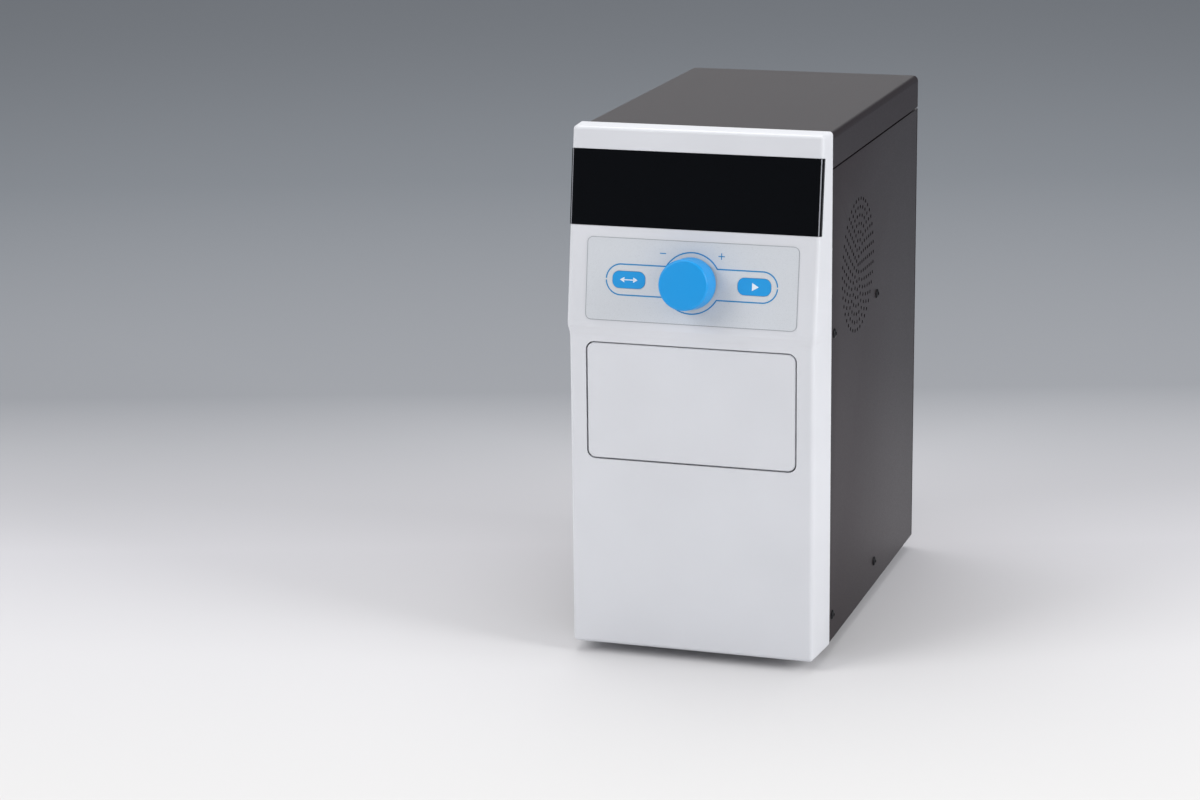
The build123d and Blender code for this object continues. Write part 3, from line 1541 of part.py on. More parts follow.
# Main circuit board on posts above the base, in front
main_board_rise = 10.0
main_board_width = 120.0
main_board_depth = 96.0
main_board_setback = 34.0
board_post_inset = 5.0
board_post_radius = 3.2
relay_width = 16.0
relay_depth = 12.0
relay_height = 16.0
relay_pitch = 22.0
relay_x = -32.0
relay_y = 24.0
sink_width = 34.0
sink_depth = 24.0
sink_height = 18.0
sink_fins = 5
sink_slot = 2.4
sink_base = 3.0
sink_x = 30.0
sink_y = 18.0
header_count = 4
header_pitch = 24.0
header_width = 16.0
header_depth = 8.0
header_height = 6.0
header_inset = 12.0
main_board_z = base_top + main_board_rise
main_board_top = main_board_z + board_thickness
main_board_y = frame_front_y + main_board_setback + main_board_depth / 2
with BuildPart() as main_board:
    with BuildSketch(Plane.XY.offset(main_board_z)):
        with Locations((0, main_board_y)):
            Rectangle(main_board_width, main_board_depth)
    extrude(amount=board_thickness)
    with BuildSketch(Plane.XY.offset(main_board_top)):
        with Locations((relay_x, main_board_y + relay_y)):
            with GridLocations(relay_pitch, 0, 2, 1):
                Rectangle(relay_width, relay_depth)
    extrude(amount=relay_height)
    # heat sink with its slots
    with BuildSketch(Plane.XY.offset(main_board_top)):
        with Locations((sink_x, main_board_y + sink_y)):
            Rectangle(sink_width, sink_depth)
    extrude(amount=sink_height)
    with BuildSketch(Plane.XY.offset(main_board_top + sink_base)):
        with Locations((sink_x, main_board_y + sink_y)):
            with GridLocations(0, sink_depth / sink_fins, 1, sink_fins - 1):
                Rectangle(sink_width, sink_slot)
    extrude(amount=sink_height - sink_base, mode=Mode.SUBTRACT)
    with BuildSketch(Plane.XY.offset(main_board_top)):
        with Locations((0, main_board_y - main_board_depth / 2 + header_inset)):
            with GridLocations(header_pitch, 0, header_count, 1):
                Rectangle(header_width, header_depth)
    extrude(amount=header_height)
main_board.part.label = "main_board"
export_step(main_board.part, "parts/main_board.step")

with BuildPart() as board_posts:
    with BuildSketch(Plane.XY.offset(base_top)):
        with Locations((0, main_board_y)):
            with GridLocations(
                main_board_width - 2 * board_post_inset,
                main_board_depth - 2 * board_post_inset,
                2,
                2,
            ):
                RegularPolygon(board_post_radius, 6)
    extrude(amount=main_board_rise)
board_posts.part.label = "board_posts"
export_step(board_posts.part, "parts/board_posts.step")

# Mains inlet with its fuse drawer, set in the rear panel
inlet_rim = 1.7
inlet_corner = 3.0
inlet_depth = 26.0
inlet_gap = 0.2
cavity_width = 24.0
cavity_height = 16.5
cavity_depth = 15.0
cavity_corner = 4.0
socket_drop = 9.0
pin_width = 2.0
pin_height = 4.0
pin_length = 12.0
pin_spacing = 7.0
live_pin_drop = 3.0
earth_pin_rise = 1.0
fuse_rise = 13.0
fuse_width = 20.0
fuse_height = 11.0
fuse_depth = 16.0
fuse_proud = 0.6
fuse_notch_width = 8.0
fuse_notch_height = 1.5
fuse_notch_depth = 1.6
socket_z = inlet_z - socket_drop
fuse_z = inlet_z + fuse_rise
inlet_face_y = rear_outer_y + inlet_flange
inlet_outline = cut_corners(
    inlet_width + 2 * inlet_rim,
    inlet_height + 2 * inlet_rim,
    inlet_corner,
)
with BuildPart() as power_inlet:
    with BuildSketch(Plane.XZ.offset(-rear_outer_y)):
        with Locations((inlet_x, inlet_z)):
            add(inlet_outline)
    extrude(amount=-inlet_flange)
    with BuildSketch(Plane.XZ.offset(-rear_outer_y)):
        with Locations((inlet_x, inlet_z)):
            Rectangle(inlet_width - 2 * inlet_gap, inlet_height - 2 * inlet_gap)
    extrude(amount=inlet_depth)
    with BuildSketch(Plane.XZ.offset(-inlet_face_y)) as cavity:
        with Locations((inlet_x, socket_z)):
            Rectangle(cavity_width, cavity_height)
        chamfer(cavity.vertices().group_by(Axis.Y)[0], cavity_corner)
    extrude(amount=cavity_depth, mode=Mode.SUBTRACT)
    with BuildSketch(Plane.XZ.offset(-inlet_face_y)):
        with Locations((inlet_x, fuse_z)):
            Rectangle(fuse_width + 2 * inlet_gap, fuse_height + 2 * inlet_gap)
    extrude(amount=fuse_depth + inlet_gap, mode=Mode.SUBTRACT)
    with BuildSketch(Plane.XZ.offset(-inlet_face_y + cavity_depth)):
        with Locations(
            (inlet_x - pin_spacing, socket_z - live_pin_drop),
            (inlet_x + pin_spacing, socket_z - live_pin_drop),
            (inlet_x, socket_z + earth_pin_rise),
        ):
            Rectangle(pin_width, pin_height)
    extrude(amount=-pin_length)
power_inlet.part.label = "power_inlet"
export_step(power_inlet.part, "parts/power_inlet.step")

with BuildPart() as fuse_drawer:
    with BuildSketch(Plane.XZ.offset(-inlet_face_y - fuse_proud)):
        with Locations((inlet_x, fuse_z)):
            Rectangle(fuse_width, fuse_height)
    extrude(amount=fuse_depth)
    with BuildSketch(Plane.XZ.offset(-inlet_face_y - fuse_proud)):
        with Locations((inlet_x, fuse_z - fuse_height / 2)):
            Rectangle(fuse_notch_width, 2 * fuse_notch_height)
    extrude(amount=fuse_notch_depth, mode=Mode.SUBTRACT)
fuse_drawer.part.label = "fuse_drawer"
export_step(fuse_drawer.part, "parts/fuse_drawer.step")

# Power switch: a rocker in its frame, at rest with its upper end out
rocker_tilt = 8.0
rocker_flange = 2.0
rocker_rim = 1.5
rocker_corner = 2.0
rocker_frame_depth = 18.0
rocker_wall = 2.0
rocker_pivot_depth = 3.0
rocker_rise = 5.0
rocker_side_gap = 0.4
rocker_end_gap = 1.0
rocker_heel = 1.0
rocker_keel = 4.0
rocker_keel_half_width = 3.0
rocker_taper = 2.0
rocker_pivot_y = rear_outer_y - rocker_pivot_depth
rocker_half_width = rocker_width / 2 - rocker_wall - rocker_side_gap
rocker_half_height = rocker_height / 2 - rocker_wall - rocker_end_gap
rocker_wing = rocker_half_height * math.tan(math.radians(rocker_tilt))
rocker_outline = cut_corners(
    rocker_width + 2 * rocker_rim,
    rocker_height + 2 * rocker_rim,
    rocker_corner,
)
with BuildPart() as rocker_frame:
    with BuildSketch(Plane.XZ.offset(-rear_outer_y)):
        with Locations((rocker_x, rocker_z)):
            add(rocker_outline)
    extrude(amount=-rocker_flange)
    with BuildSketch(Plane.XZ.offset(-rear_outer_y)):
        with Locations((rocker_x, rocker_z)):
            Rectangle(rocker_width - 2 * inlet_gap, rocker_height - 2 * inlet_gap)
    extrude(amount=rocker_frame_depth)
    with BuildSketch(Plane.XZ.offset(-rear_outer_y - rocker_flange)):
        with Locations((rocker_x, rocker_z)):
            Rectangle(rocker_width - 2 * rocker_wall, rocker_height - 2 * rocker_wall)
    extrude(amount=rocker_frame_depth + rocker_flange - rocker_wall, mode=Mode.SUBTRACT)
rocker_frame.part.label = "rocker_frame"
export_step(rocker_frame.part, "parts/rocker_frame.step")

rocker_plane = Plane(
    origin=(rocker_x - rocker_half_width, rocker_pivot_y, rocker_z),
    x_dir=(0, math.sin(math.radians(rocker_tilt)), math.cos(math.radians(rocker_tilt))),
    z_dir=(1, 0, 0),
)
with BuildPart() as power_rocker:
    with BuildSketch(rocker_plane):
        with BuildLine():
            Polyline(
                (-rocker_half_height, -rocker_rise - rocker_wing),
                (0, -rocker_rise),
                (rocker_half_height, -rocker_rise - rocker_wing),
                (rocker_half_height - rocker_taper, rocker_heel),
                (rocker_keel_half_width, rocker_keel),
                (-rocker_keel_half_width, rocker_keel),
                (-rocker_half_height + rocker_taper, rocker_heel),
                close=True,
            )
        make_face()
    extrude(amount=2 * rocker_half_width)
power_rocker.part.label = "power_rocker"
export_step(power_rocker.part, "parts/power_rocker.step")

# Screws through the frame plates into the two decks
with BuildPart() as frame_screws:
    for side in (-1, 1):
        for y, z in deck_screw_places:
            with Locations(facing(side * frame_outer_x, y, z, (side, 0, 0))):
                add(screw_hexagon)
frame_screws.part.label = "frame_screws"
export_step(frame_screws.part, "parts/frame_screws.step")
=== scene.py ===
import json
import math

import bmesh
import bpy
from bpy.props import FloatProperty, FloatVectorProperty, IntProperty, PointerProperty
from mathutils import Matrix, Vector


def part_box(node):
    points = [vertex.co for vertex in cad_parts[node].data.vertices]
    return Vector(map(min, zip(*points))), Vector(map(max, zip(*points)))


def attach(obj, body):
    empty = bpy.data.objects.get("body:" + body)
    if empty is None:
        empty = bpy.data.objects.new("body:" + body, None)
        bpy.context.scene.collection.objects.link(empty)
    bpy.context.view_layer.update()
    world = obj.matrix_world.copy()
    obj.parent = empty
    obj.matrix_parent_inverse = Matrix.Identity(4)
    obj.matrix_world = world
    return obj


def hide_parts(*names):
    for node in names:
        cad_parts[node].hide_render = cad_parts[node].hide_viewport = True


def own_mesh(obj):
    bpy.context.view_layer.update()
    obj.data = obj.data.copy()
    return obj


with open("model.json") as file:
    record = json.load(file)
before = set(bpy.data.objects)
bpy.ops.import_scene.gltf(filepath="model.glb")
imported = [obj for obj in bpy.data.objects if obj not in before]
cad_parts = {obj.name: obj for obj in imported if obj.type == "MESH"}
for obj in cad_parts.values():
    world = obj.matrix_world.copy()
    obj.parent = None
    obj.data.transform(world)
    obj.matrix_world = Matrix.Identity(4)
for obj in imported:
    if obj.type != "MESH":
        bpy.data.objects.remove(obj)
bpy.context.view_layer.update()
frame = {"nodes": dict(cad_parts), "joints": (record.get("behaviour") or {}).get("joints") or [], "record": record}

bl_info = {
    "name": "Microplate sealer dressing",
    "version": (1, 0, 0),
    "blender": (4, 5, 0),
    "location": "3D View > Sidebar > Sealer",
    "description": "Finishes, printed marks, screws, threads and a studio for a packed microplate sealer",
    "category": "Object",
}

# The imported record's joints by name, and each node's material slot
JOINTS = {joint["name"]: joint for joint in frame["joints"]}
SLOT_OF = {part["node"]: part["material_slot"] for part in frame["record"]["subparts"]}

MM = 0.001
# Points nearer than TINY are in one place, and a finished mesh merges those nearer than WELD
TINY = 0.001 * MM
WELD = 0.002 * MM

# Sides of round things, and degrees between the points of a rounded edge
OUTLINE_SIDES = 96
KNOB_SIDES = 64
TURNED_SIDES = 32
SPRING_STEPS = 24
HOLE_SIDES = 16
WIRE_SIDES = 10
ARC_STEP = 15
# Segments of a corner of the film's border and of a fold in the sheet
CORNER_SEGMENTS = 8
FOLD_SEGMENTS = 3

# A face looks a way if its normal has this much of it; the window's bevelled ends look partly sideways
FACING = 0.9
SIDEWAYS = (0.3, 0.95)

# Button heads: rim and depth under the socket by height, flat top and socket by radius
HEAD_RIM = 0.15
SOCKET_FLOOR = 0.35
HEAD_FLAT = 0.3
SOCKET_RADIUS = 0.42
# The lead screw's flanks start and end at these shares of the pitch
THREAD_SHARES = (0.2, 0.4, 0.6, 0.8)
# The start key's triangle against an arrow head of the other key
START_SYMBOL = 1.5


def linear(hex_code):
    """Turns an sRGB hex code into the linear colour that shaders read."""
    levels = [int(hex_code[i:i + 2], 16) / 255 for i in (1, 3, 5)]
    return tuple(v / 12.92 if v <= 0.04045 else ((v + 0.055) / 1.055) ** 2.4 for v in levels)


def colour(name, hex_code, text):
    """A colour that a user may change, with its default from a hex code."""
    return FloatVectorProperty(
        name=name, description=text, subtype="COLOR", size=3, min=0.0, max=1.0, default=linear(hex_code)
    )


def length(name, millimetres, text):
    """A length that a user may change, with its default in millimetres."""
    return FloatProperty(
        name=name, description=text, unit="LENGTH", min=0.0, precision=5, default=millimetres * MM
    )


def count(name, default, text):
    """A whole number that a user may change."""
    return IntProperty(name=name, description=text, default=default, min=1)


class SealerColours(bpy.types.PropertyGroup):
    """Colours of the finishes."""

    white: colour("White ABS", "#d2d3d7", "Moulded bezel and drawer front")
    coat: colour("Powder coat", "#1b1417", "Folded sheet casing")
    window: colour("Window", "#050609", "Smoked acrylic over the display")
    # A pale tone on a strip over the window's bevelled ends: a painted highlight of the polished bevel catching
    # the lamps
    window_edge: colour("Window edge", "#8f9096", "Bright line along the window's bevelled ends")
    film: colour("Overlay film", "#cacdd1", "Printed film on the console")
    blue: colour("Knob blue", "#0093da", "Moulded knob")
    ink: colour("Blue ink", "#1094d8", "Screen-printed keys")
    outline_ink: colour("Outline ink", "#0c80ba", "Screen-printed outline, plus and minus")
    # A thin grey line round the film that paints the shade at the film's edge step
    edge_shade_ink: colour("Grey ink", "#8f9298", "Thin line round the overlay film")
    white_ink: colour("White ink", "#dfe7ee", "Symbols on the keys and the power switch")
    steel: colour("Zinc steel", "#b4b7bb", "Plated sheet and screws")
    aluminium: colour("Aluminium", "#c4c7ca", "Milled plates")
    brass: colour("Brass", "#c9a35c", "Turned nut")
    bronze: colour("Bronze", "#a0764a", "Sintered bushes")
    silicone: colour("Silicone", "#9a4027", "Pad under the plate")
    board: colour("Circuit board", "#0f4527", "Solder mask")
    insulation: colour("Insulation", "#cdc2a8", "Pressed mineral board")
    # The floor's seen tones darken behind the object: painted shade of the studio light falling off away from the
    # lamps
    floor_near: colour("Floor near", "#d7d6d5", "Floor in front of the object")
    floor_middle: colour("Floor middle", "#c9c8cb", "Floor beside the object")
    floor_back: colour("Floor back", "#8e9094", "Floor behind the object")
    floor_far: colour("Floor far", "#7f8388", "Floor far behind the object, and the horizon")
    floor_fill: colour("Floor fill", "#e5e5e6", "Tone of the light that the floor gives back")
    sky: colour("Sky", "#bcbdc0", "Even light from all round")


class SealerSizes(bpy.types.PropertyGroup):
    """Sizes of what the finishing adds."""

    ink_thickness: length("Ink thickness", 0.05, "Height of printed marks over their surface")
    outline_width: length("Outline width", 0.9, "Width of the blue outline")
    outline_height: length("Outline height", 21.0, "Height of the long blue outline")
    outline_half: length("Outline half length", 60.0, "From the knob's middle to an end of the outline")
    outline_break: length("Outline break", 1.1, "Gap at each end of the outline")
    ring_diameter: length("Ring diameter", 41.5, "Outline round the knob")
    # The border is the thin grey line of painted shade along the film's edge
    border_width: length("Border width", 0.35, "Thin line round the overlay film")
    border_corner: length("Border corner", 4.0, "Radius of the film's corners")
    mark_size: length("Mark size", 4.4, "Length of the plus and minus marks")
    mark_stroke: length("Mark stroke", 0.65, "Width of their strokes")
    mark_across: length("Mark offset across", 20.5, "From the knob's middle to a mark")
    mark_up: length("Mark offset up", 19.2, "From the knob's middle up to the marks")
    arrow: length("Arrow size", 2.1, "Radius of the arrow heads on the keys")
    arrow_reach: length("Arrow reach", 4.2, "From a key's middle to the middle of an arrow head")
    knob_round: length("Knob rounding", 1.8, "Radius of the knob's front edge")
    knob_taper: length("Knob taper", 0.45, "How much its radius shrinks towards the front")
    knob_foot: length("Knob foot", 0.3, "Chamfer of the knob's back edge")
    vent_hole: length("Vent hole", 2.9, "Diameter of one hole of the vent")
    vent_pitch: length("Vent pitch", 5.8, "From one ring of holes to the next")
    vent_rings: count("Vent rings", 8, "Rings of holes")
    vent_step: count("Vent step", 5, "Holes that each ring adds")
    sheet: length("Sheet", 1.2, "Thickness of the casing's sheet")
    screw_lead: length("Screw lead", 8.0, "Travel of the press for one turn of its nut")
    thread_depth: length("Thread depth", 0.8, "Depth of the lead screw's thread")
    thread_starts: count("Thread starts", 4, "Starts of the lead screw")
    flange_edge: length("Flange edge", 0.4, "Chamfer of the lead screw's flange")
    spring_wire: length("Spring wire", 1.1, "Diameter of the springs' wire")
    spring_turns: count("Spring turns", 3, "Turns of each spring")
    # Width of that painted highlight strip
    window_edge: length("Window edge", 0.6, "Width of the bright line along the window's bevelled ends")
    grain: length("Mould grain", 0.5, "Grain of the moulded plastics, coarser than real so that it shows")
    coat_grain: length("Coat grain", 0.8, "Orange peel of the coat, coarser than real so that it shows")


def sizes():
    """The sizes, as set in the sidebar."""
    return bpy.context.scene.sealer_sizes


def colours():
    """The colours, as set in the sidebar."""
    return bpy.context.scene.sealer_colours


NOISE = "ShaderNodeTexNoise"
RANGE = "ShaderNodeMapRange"
# A mix of colours, and the places of its factor, its two colours and what it gives
MIX = ("ShaderNodeMix", {"data_type": "RGBA"})
FACTOR, FIRST, SECOND, MIXED = 0, 6, 7, 2
# Noise keeps mostly to the first range, other patterns fill the second
NOISE_SPAN = (0.3, 0.7)
WHOLE_SPAN = (0.0, 1.0)


def add_node(material, kind, settings=None, inputs=None, output=0):
    """Adds a node with its settings and inputs, values or sockets, and gives one of its outputs."""
    tree = material.node_tree
    node = tree.nodes.new(kind)
    for key, value in (settings or {}).items():
        setattr(node, key, value)
    for key, value in (inputs or {}).items():
        socket = node.inputs[key]
        if isinstance(value, bpy.types.NodeSocket):
            tree.links.new(value, socket)
        elif socket.type == "RGBA":
            socket.default_value = (*value, 1.0)
        else:
            socket.default_value = value
    return node.outputs[output] if node.outputs else None


def per(feature):
    """Scale of a pattern whose features are this long, in metres."""
    return 1.0 / feature


def lighter(base, share):
    """The same colour with its light level changed by a share."""
    return tuple(min(1.0, channel * (1.0 + share)) for channel in base)


def begin(name):
    """An empty node material and its Object coordinates."""
    material = bpy.data.materials.new(name)
    material.use_nodes = True
    material.node_tree.nodes.clear()
    return material, add_node(material, "ShaderNodeTexCoord", output="Object")


def finish(material, base, tones, drift, rough, grain=None, bump=None, full=False, span=NOISE_SPAN, **fixed):
    """Ends a material with its shader.

    drift moves the colour between two tones, which are shares lighter than the base, over its whole span
    where full is set. grain, or drift where there is none, moves the roughness between two values and makes
    a bump of a real depth and a strength. Fixed values go on the shader's own sockets.
    """
    reads = {"From Min": span[0], "From Max": span[1]}
    if grain is None:
        grain = drift
    if full:
        drift = add_node(material, RANGE, inputs={"Value": drift, **reads})
    first, second = (lighter(base, share) for share in tones)
    inputs = {
        "Base Color": add_node(material, *MIX, {FACTOR: drift, FIRST: first, SECOND: second}, MIXED),
        "Roughness": add_node(
            material, RANGE, inputs={"Value": grain, "To Min": rough[0], "To Max": rough[1], **reads}
        ),
    }
    if bump is not None:
        depth, strength = bump
        inputs["Normal"] = add_node(
            material, "ShaderNodeBump", inputs={"Height": grain, "Distance": depth, "Strength": strength}
        )
    inputs.update({key.replace("_", " "): value for key, value in fixed.items()})
    shader = add_node(material, "ShaderNodeBsdfPrincipled", inputs=inputs)
    add_node(material, "ShaderNodeOutputMaterial", inputs={"Surface": shader})
    return material


# Finishes, each named for the real material

def moulded_abs(name, base, grain, roughness=0.38, gloss=0.5):
    """Injection-moulded ABS: an even satin skin with a very fine spark-eroded grain."""
    material, place = begin(name)
    drift = add_node(material, NOISE, inputs={"Vector": place, "Scale": per(60 * MM), "Detail": 1.0})
    skin = add_node(material, NOISE, inputs={"Vector": place, "Scale": per(grain), "Detail": 3.0})
    return finish(
        material, base, (-0.02, 0.015), drift, (roughness - 0.03, roughness + 0.04), skin,
        bump=(0.02 * MM, 0.2), full=True, IOR=1.54, Specular_IOR_Level=gloss,
    )


def powder_coat(name, base, grain):
    """Polyester powder coat on sheet steel: satin, with slight orange peel and faint upright streaks."""
    material, place = begin(name)
    tall = add_node(material, "ShaderNodeMapping", inputs={"Vector": place, "Scale": (1.0, 1.0, 0.05)})
    streaks = add_node(material, NOISE, inputs={"Vector": tall, "Scale": per(7 * MM), "Detail": 2.0})
    peel = add_node(material, NOISE, inputs={"Vector": place, "Scale": per(grain), "Detail": 2.0})
    return finish(
        material, base, (-0.08, 0.10), streaks, (0.36, 0.42), peel, bump=(0.04 * MM, 0.35), full=True,
        IOR=1.5, Specular_IOR_Level=0.42, Specular_Tint=linear("#fff1f6"),
    )


def one_noise(name, base, feature, detail, tones, rough, stretch=(1.0, 1.0, 1.0), **settings):
    """A finish that follows one noise, with features of a real length, drawn out along the axes."""
    material, place = begin(name)
    spread = add_node(material, "ShaderNodeMapping", inputs={"Vector": place, "Scale": stretch})
    noise = add_node(material, NOISE, inputs={"Vector": spread, "Scale": per(feature), "Detail": detail})
    return finish(material, base, tones, noise, rough, **settings)


def smoked_acrylic(name, base):
    """Cast acrylic, dyed nearly black and polished: deep colour under a clear reflection."""
    return one_noise(name, base, 40 * MM, 1.0, (-0.1, 0.1), (0.03, 0.05), IOR=1.49, Specular_IOR_Level=0.2)


def printed_film(name, base):
    """Polycarbonate film, printed silver grey: its fine matt front is coarser than real so that it shows."""
    return one_noise(
        name, base, 0.45 * MM, 2.0, (-0.025, 0.025), (0.26, 0.34), bump=(0.01 * MM, 0.15), full=True, IOR=1.58
    )


def screen_ink(name, base):
    """Screen-printed ink: satin, with a trace of the mesh, coarser than real so that it shows."""
    return one_noise(name, base, 0.3 * MM, 1.0, (-0.03, 0.03), (0.34, 0.4), IOR=1.5)


def ground_metal(name, base, roughness):
    """Ground metal: lines along Z that spread its reflections, coarser than real so that they show."""
    return one_noise(
        name, base, 0.4 * MM, 2.0, (-0.06, 0.05), (roughness - 0.05, roughness + 0.07), (1.0, 1.0, 0.1),
        bump=(0.01 * MM, 0.25), Metallic=1.0,
    )


def turned_metal(name, base, roughness):
    """Turned copper alloy: warm metal with fine rings of the tool."""
    return one_noise(
        name, base, 0.35 * MM, 1.0, (-0.08, 0.06), (roughness - 0.04, roughness + 0.06), (0.1, 0.1, 1.0),
        bump=(0.01 * MM, 0.3), Metallic=1.0,
    )


def blasted_aluminium(name, base):
    """Bead-blasted and anodised aluminium: matt, with dimples coarser than real so that they show."""
    return one_noise(
        name, base, 0.4 * MM, 2.0, (-0.05, 0.05), (0.42, 0.52), bump=(0.03 * MM, 0.4), Metallic=0.9
    )


def rubber(name, base, feature, roughness):
    """Moulded rubber: dull, with a slight dusty bloom."""
    return one_noise(
        name, base, feature, 3.0, (-0.15, 0.25), (roughness - 0.06, roughness + 0.06),
        bump=(0.05 * MM, 0.4), IOR=1.5,
    )


def black_oxide(name, base):
    """Black-oxide steel: dark, slightly oily metal."""
    return one_noise(name, base, 1.2 * MM, 2.0, (-0.2, 0.3), (0.3, 0.42), Metallic=0.7)


def mineral_board(name, base):
    """Pressed mineral board: chalky, with short fibres."""
    return one_noise(
        name, base, 1.5 * MM, 4.0, (-0.12, 0.06), (0.82, 0.92), (1.0, 0.25, 1.0),
        bump=(0.15 * MM, 0.5), full=True, IOR=1.5,
    )


def zinc_plate(name, base):
    """Zinc-plated sheet: bright grey metal with soft crystal patches."""
    material, place = begin(name)
    cells = {"Vector": place, "Scale": per(5 * MM), "Randomness": 1.0}
    crystals = add_node(material, "ShaderNodeTexVoronoi", inputs=cells, output="Color")
    patch = add_node(material, "ShaderNodeRGBToBW", inputs={"Color": crystals})
    return finish(material, base, (-0.08, 0.05), patch, (0.3, 0.42), span=WHOLE_SPAN, Metallic=1.0)


def milled_aluminium(name, base):
    """Face-milled aluminium: cutter marks 3.8 mm apart, which is how often a wave of 12 mm comes back."""
    material, place = begin(name)
    marks = add_node(
        material,
        "ShaderNodeTexWave",
        {"wave_type": "RINGS", "rings_direction": "Z"},
        {"Vector": place, "Scale": per(12 * MM), "Distortion": 0.4, "Detail": 1.0},
        "Fac",
    )
    return finish(
        material, base, (-0.05, 0.04), marks, (0.26, 0.36), bump=(0.01 * MM, 0.05), span=WHOLE_SPAN,
        Metallic=1.0,
    )


def solder_mask(name, base):
    """Glass-epoxy board: glossy green mask over a grid of tracks, 11 by 5.5 mm."""
    material, place = begin(name)
    tracks = add_node(
        material,
        "ShaderNodeTexBrick",
        {"offset": 0.35, "squash": 1.0},
        {
            "Vector": place,
            "Scale": per(22 * MM),
            "Color1": linear("#000000"),
            "Color2": linear("#7c7c7c"),
            "Mortar": linear("#ffffff"),
            "Mortar Size": 0.03,
        },
        "Color",
    )
    level = add_node(material, "ShaderNodeRGBToBW", inputs={"Color": tracks})
    return finish(
        material, base, (-0.1, 0.5), level, (0.22, 0.3), bump=(0.03 * MM, 0.4), span=WHOLE_SPAN, IOR=1.5
    )


FINISHES = {}


def make_finishes():
    """Makes one finish for each material slot of the record, and the inks, with the grey ink that paints shade
    along the film's edge and the pale acrylic that paints a highlight on the window's ends.
    """
    tones, size = colours(), sizes()
    FINISHES.update({
        "white_abs": moulded_abs("satin_white_abs", tones.white, size.grain),
        "dark_coat": powder_coat("dark_powder_coat", tones.coat, size.coat_grain),
        "window": smoked_acrylic("smoked_acrylic", tones.window),
        "overlay": printed_film("printed_polycarbonate_film", tones.film),
        "blue_print": screen_ink("blue_screen_ink", tones.ink),
        "outline_print": screen_ink("deep_blue_screen_ink", tones.outline_ink),
        # A pale acrylic finish that paints the highlight on the window's bevelled ends
        "window_edge": smoked_acrylic("polished_acrylic_edge", tones.window_edge),
        # Grey ink that paints shade along the film's edge
        "edge_painted_shade": screen_ink("grey_screen_ink", tones.edge_shade_ink),
        "white_print": screen_ink("white_screen_ink", tones.white_ink),
        "blue_knob": moulded_abs("blue_moulded_abs", tones.blue, size.grain, gloss=0.4),
        "black_rubber": rubber("nitrile_rubber", linear("#18181a"), 1.5 * MM, 0.72),
        "black_screw": black_oxide("black_oxide_steel", linear("#1c1c1f")),
        "zinc_steel": zinc_plate("zinc_plated_steel", tones.steel),
        "ground_steel": ground_metal("ground_steel", linear("#c3c4c6"), 0.22),
        "milled_aluminium": milled_aluminium("milled_aluminium", tones.aluminium),
        "anodised_nest": blasted_aluminium("anodised_aluminium", linear("#9fa3a8")),
        "silicone": rubber("silicone_rubber", tones.silicone, 3 * MM, 0.6),
        "circuit_board": solder_mask("glass_epoxy_board", tones.board),
        "black_plastic": moulded_abs("black_glass_filled_nylon", linear("#141416"), size.grain, 0.48),
        "motor_steel": powder_coat("painted_motor_steel", linear("#1e1e21"), size.coat_grain),
        "brass": turned_metal("turned_brass", tones.brass, 0.26),
        "bronze": turned_metal("sintered_bronze", tones.bronze, 0.42),
        "insulation": mineral_board("mineral_insulation_board", tones.insulation),
        "digits": moulded_abs("dark_grey_epoxy", linear("#232527"), size.grain, 0.3),
    })


# Modelling helpers

def solids(node):
    """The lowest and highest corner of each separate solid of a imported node."""
    mesh = bmesh.new()
    mesh.from_mesh(frame["nodes"][node].data)
    bmesh.ops.remove_doubles(mesh, verts=mesh.verts, dist=TINY)
    waiting = set(mesh.verts)
    boxes = []
    while waiting:
        seed = waiting.pop()
        island, front = [seed], [seed]
        while front:
            for edge in front.pop().link_edges:
                for vert in edge.verts:
                    if vert in waiting:
                        waiting.discard(vert)
                        island.append(vert)
                        front.append(vert)
        low = Vector(min(vert.co[i] for vert in island) for i in range(3))
        high = Vector(max(vert.co[i] for vert in island) for i in range(3))
        boxes.append((low, high))
    mesh.free()
    return sorted(boxes, key=lambda box: [round(v, 5) for v in box[0]])


def clear_selection():
    """Leaves edit mode and deselects everything."""
    if bpy.context.mode != "OBJECT":
        bpy.ops.object.mode_set(mode="OBJECT")
    bpy.ops.object.select_all(action="DESELECT")


def pick(*pieces):
    """Selects only these pieces, the first of them active."""
    clear_selection()
    for piece in pieces:
        piece.select_set(True)
    bpy.context.view_layer.objects.active = pieces[0]


def rename(piece, name):
    """Gives a piece and its mesh one name."""
    piece.name = name
    piece.data.name = name


def new_piece(name, add, **settings):
    """Adds a primitive, names it and opens it for editing, all selected."""
    clear_selection()
    add(**settings)
    piece = bpy.context.object
    rename(piece, name)
    bpy.ops.object.transform_apply(location=True, rotation=True, scale=True)
    bpy.ops.object.mode_set(mode="EDIT")
    bpy.ops.mesh.select_all(action="SELECT")
    return piece


def close_edit():
    """Merges doubles, turns the faces outwards and leaves edit mode."""
    bpy.ops.mesh.select_all(action="SELECT")
    bpy.ops.mesh.remove_doubles(threshold=WELD)
    bpy.ops.mesh.normals_make_consistent(inside=False)
    bpy.ops.object.mode_set(mode="OBJECT")


def select_where(piece, kind, wanted):
    """In edit mode, selects only the verts or faces that a test accepts."""
    mesh = bmesh.from_edit_mesh(piece.data)
    bpy.ops.mesh.select_all(action="DESELECT")
    for element in getattr(mesh, kind):
        if wanted(element):
            element.select_set(True)
    mesh.select_flush_mode()
    bmesh.update_edit_mesh(piece.data)


def delete_faces(piece, wanted):
    """In edit mode, deletes the faces that a test accepts."""
    select_where(piece, "faces", wanted)
    bpy.ops.mesh.delete(type="FACE")


def keep_side(point, normal):
    """In edit mode, cuts the piece by a plane and keeps the side that the normal points to."""
    bpy.ops.mesh.select_all(action="SELECT")
    bpy.ops.mesh.bisect(plane_co=point, plane_no=normal, clear_inner=True)


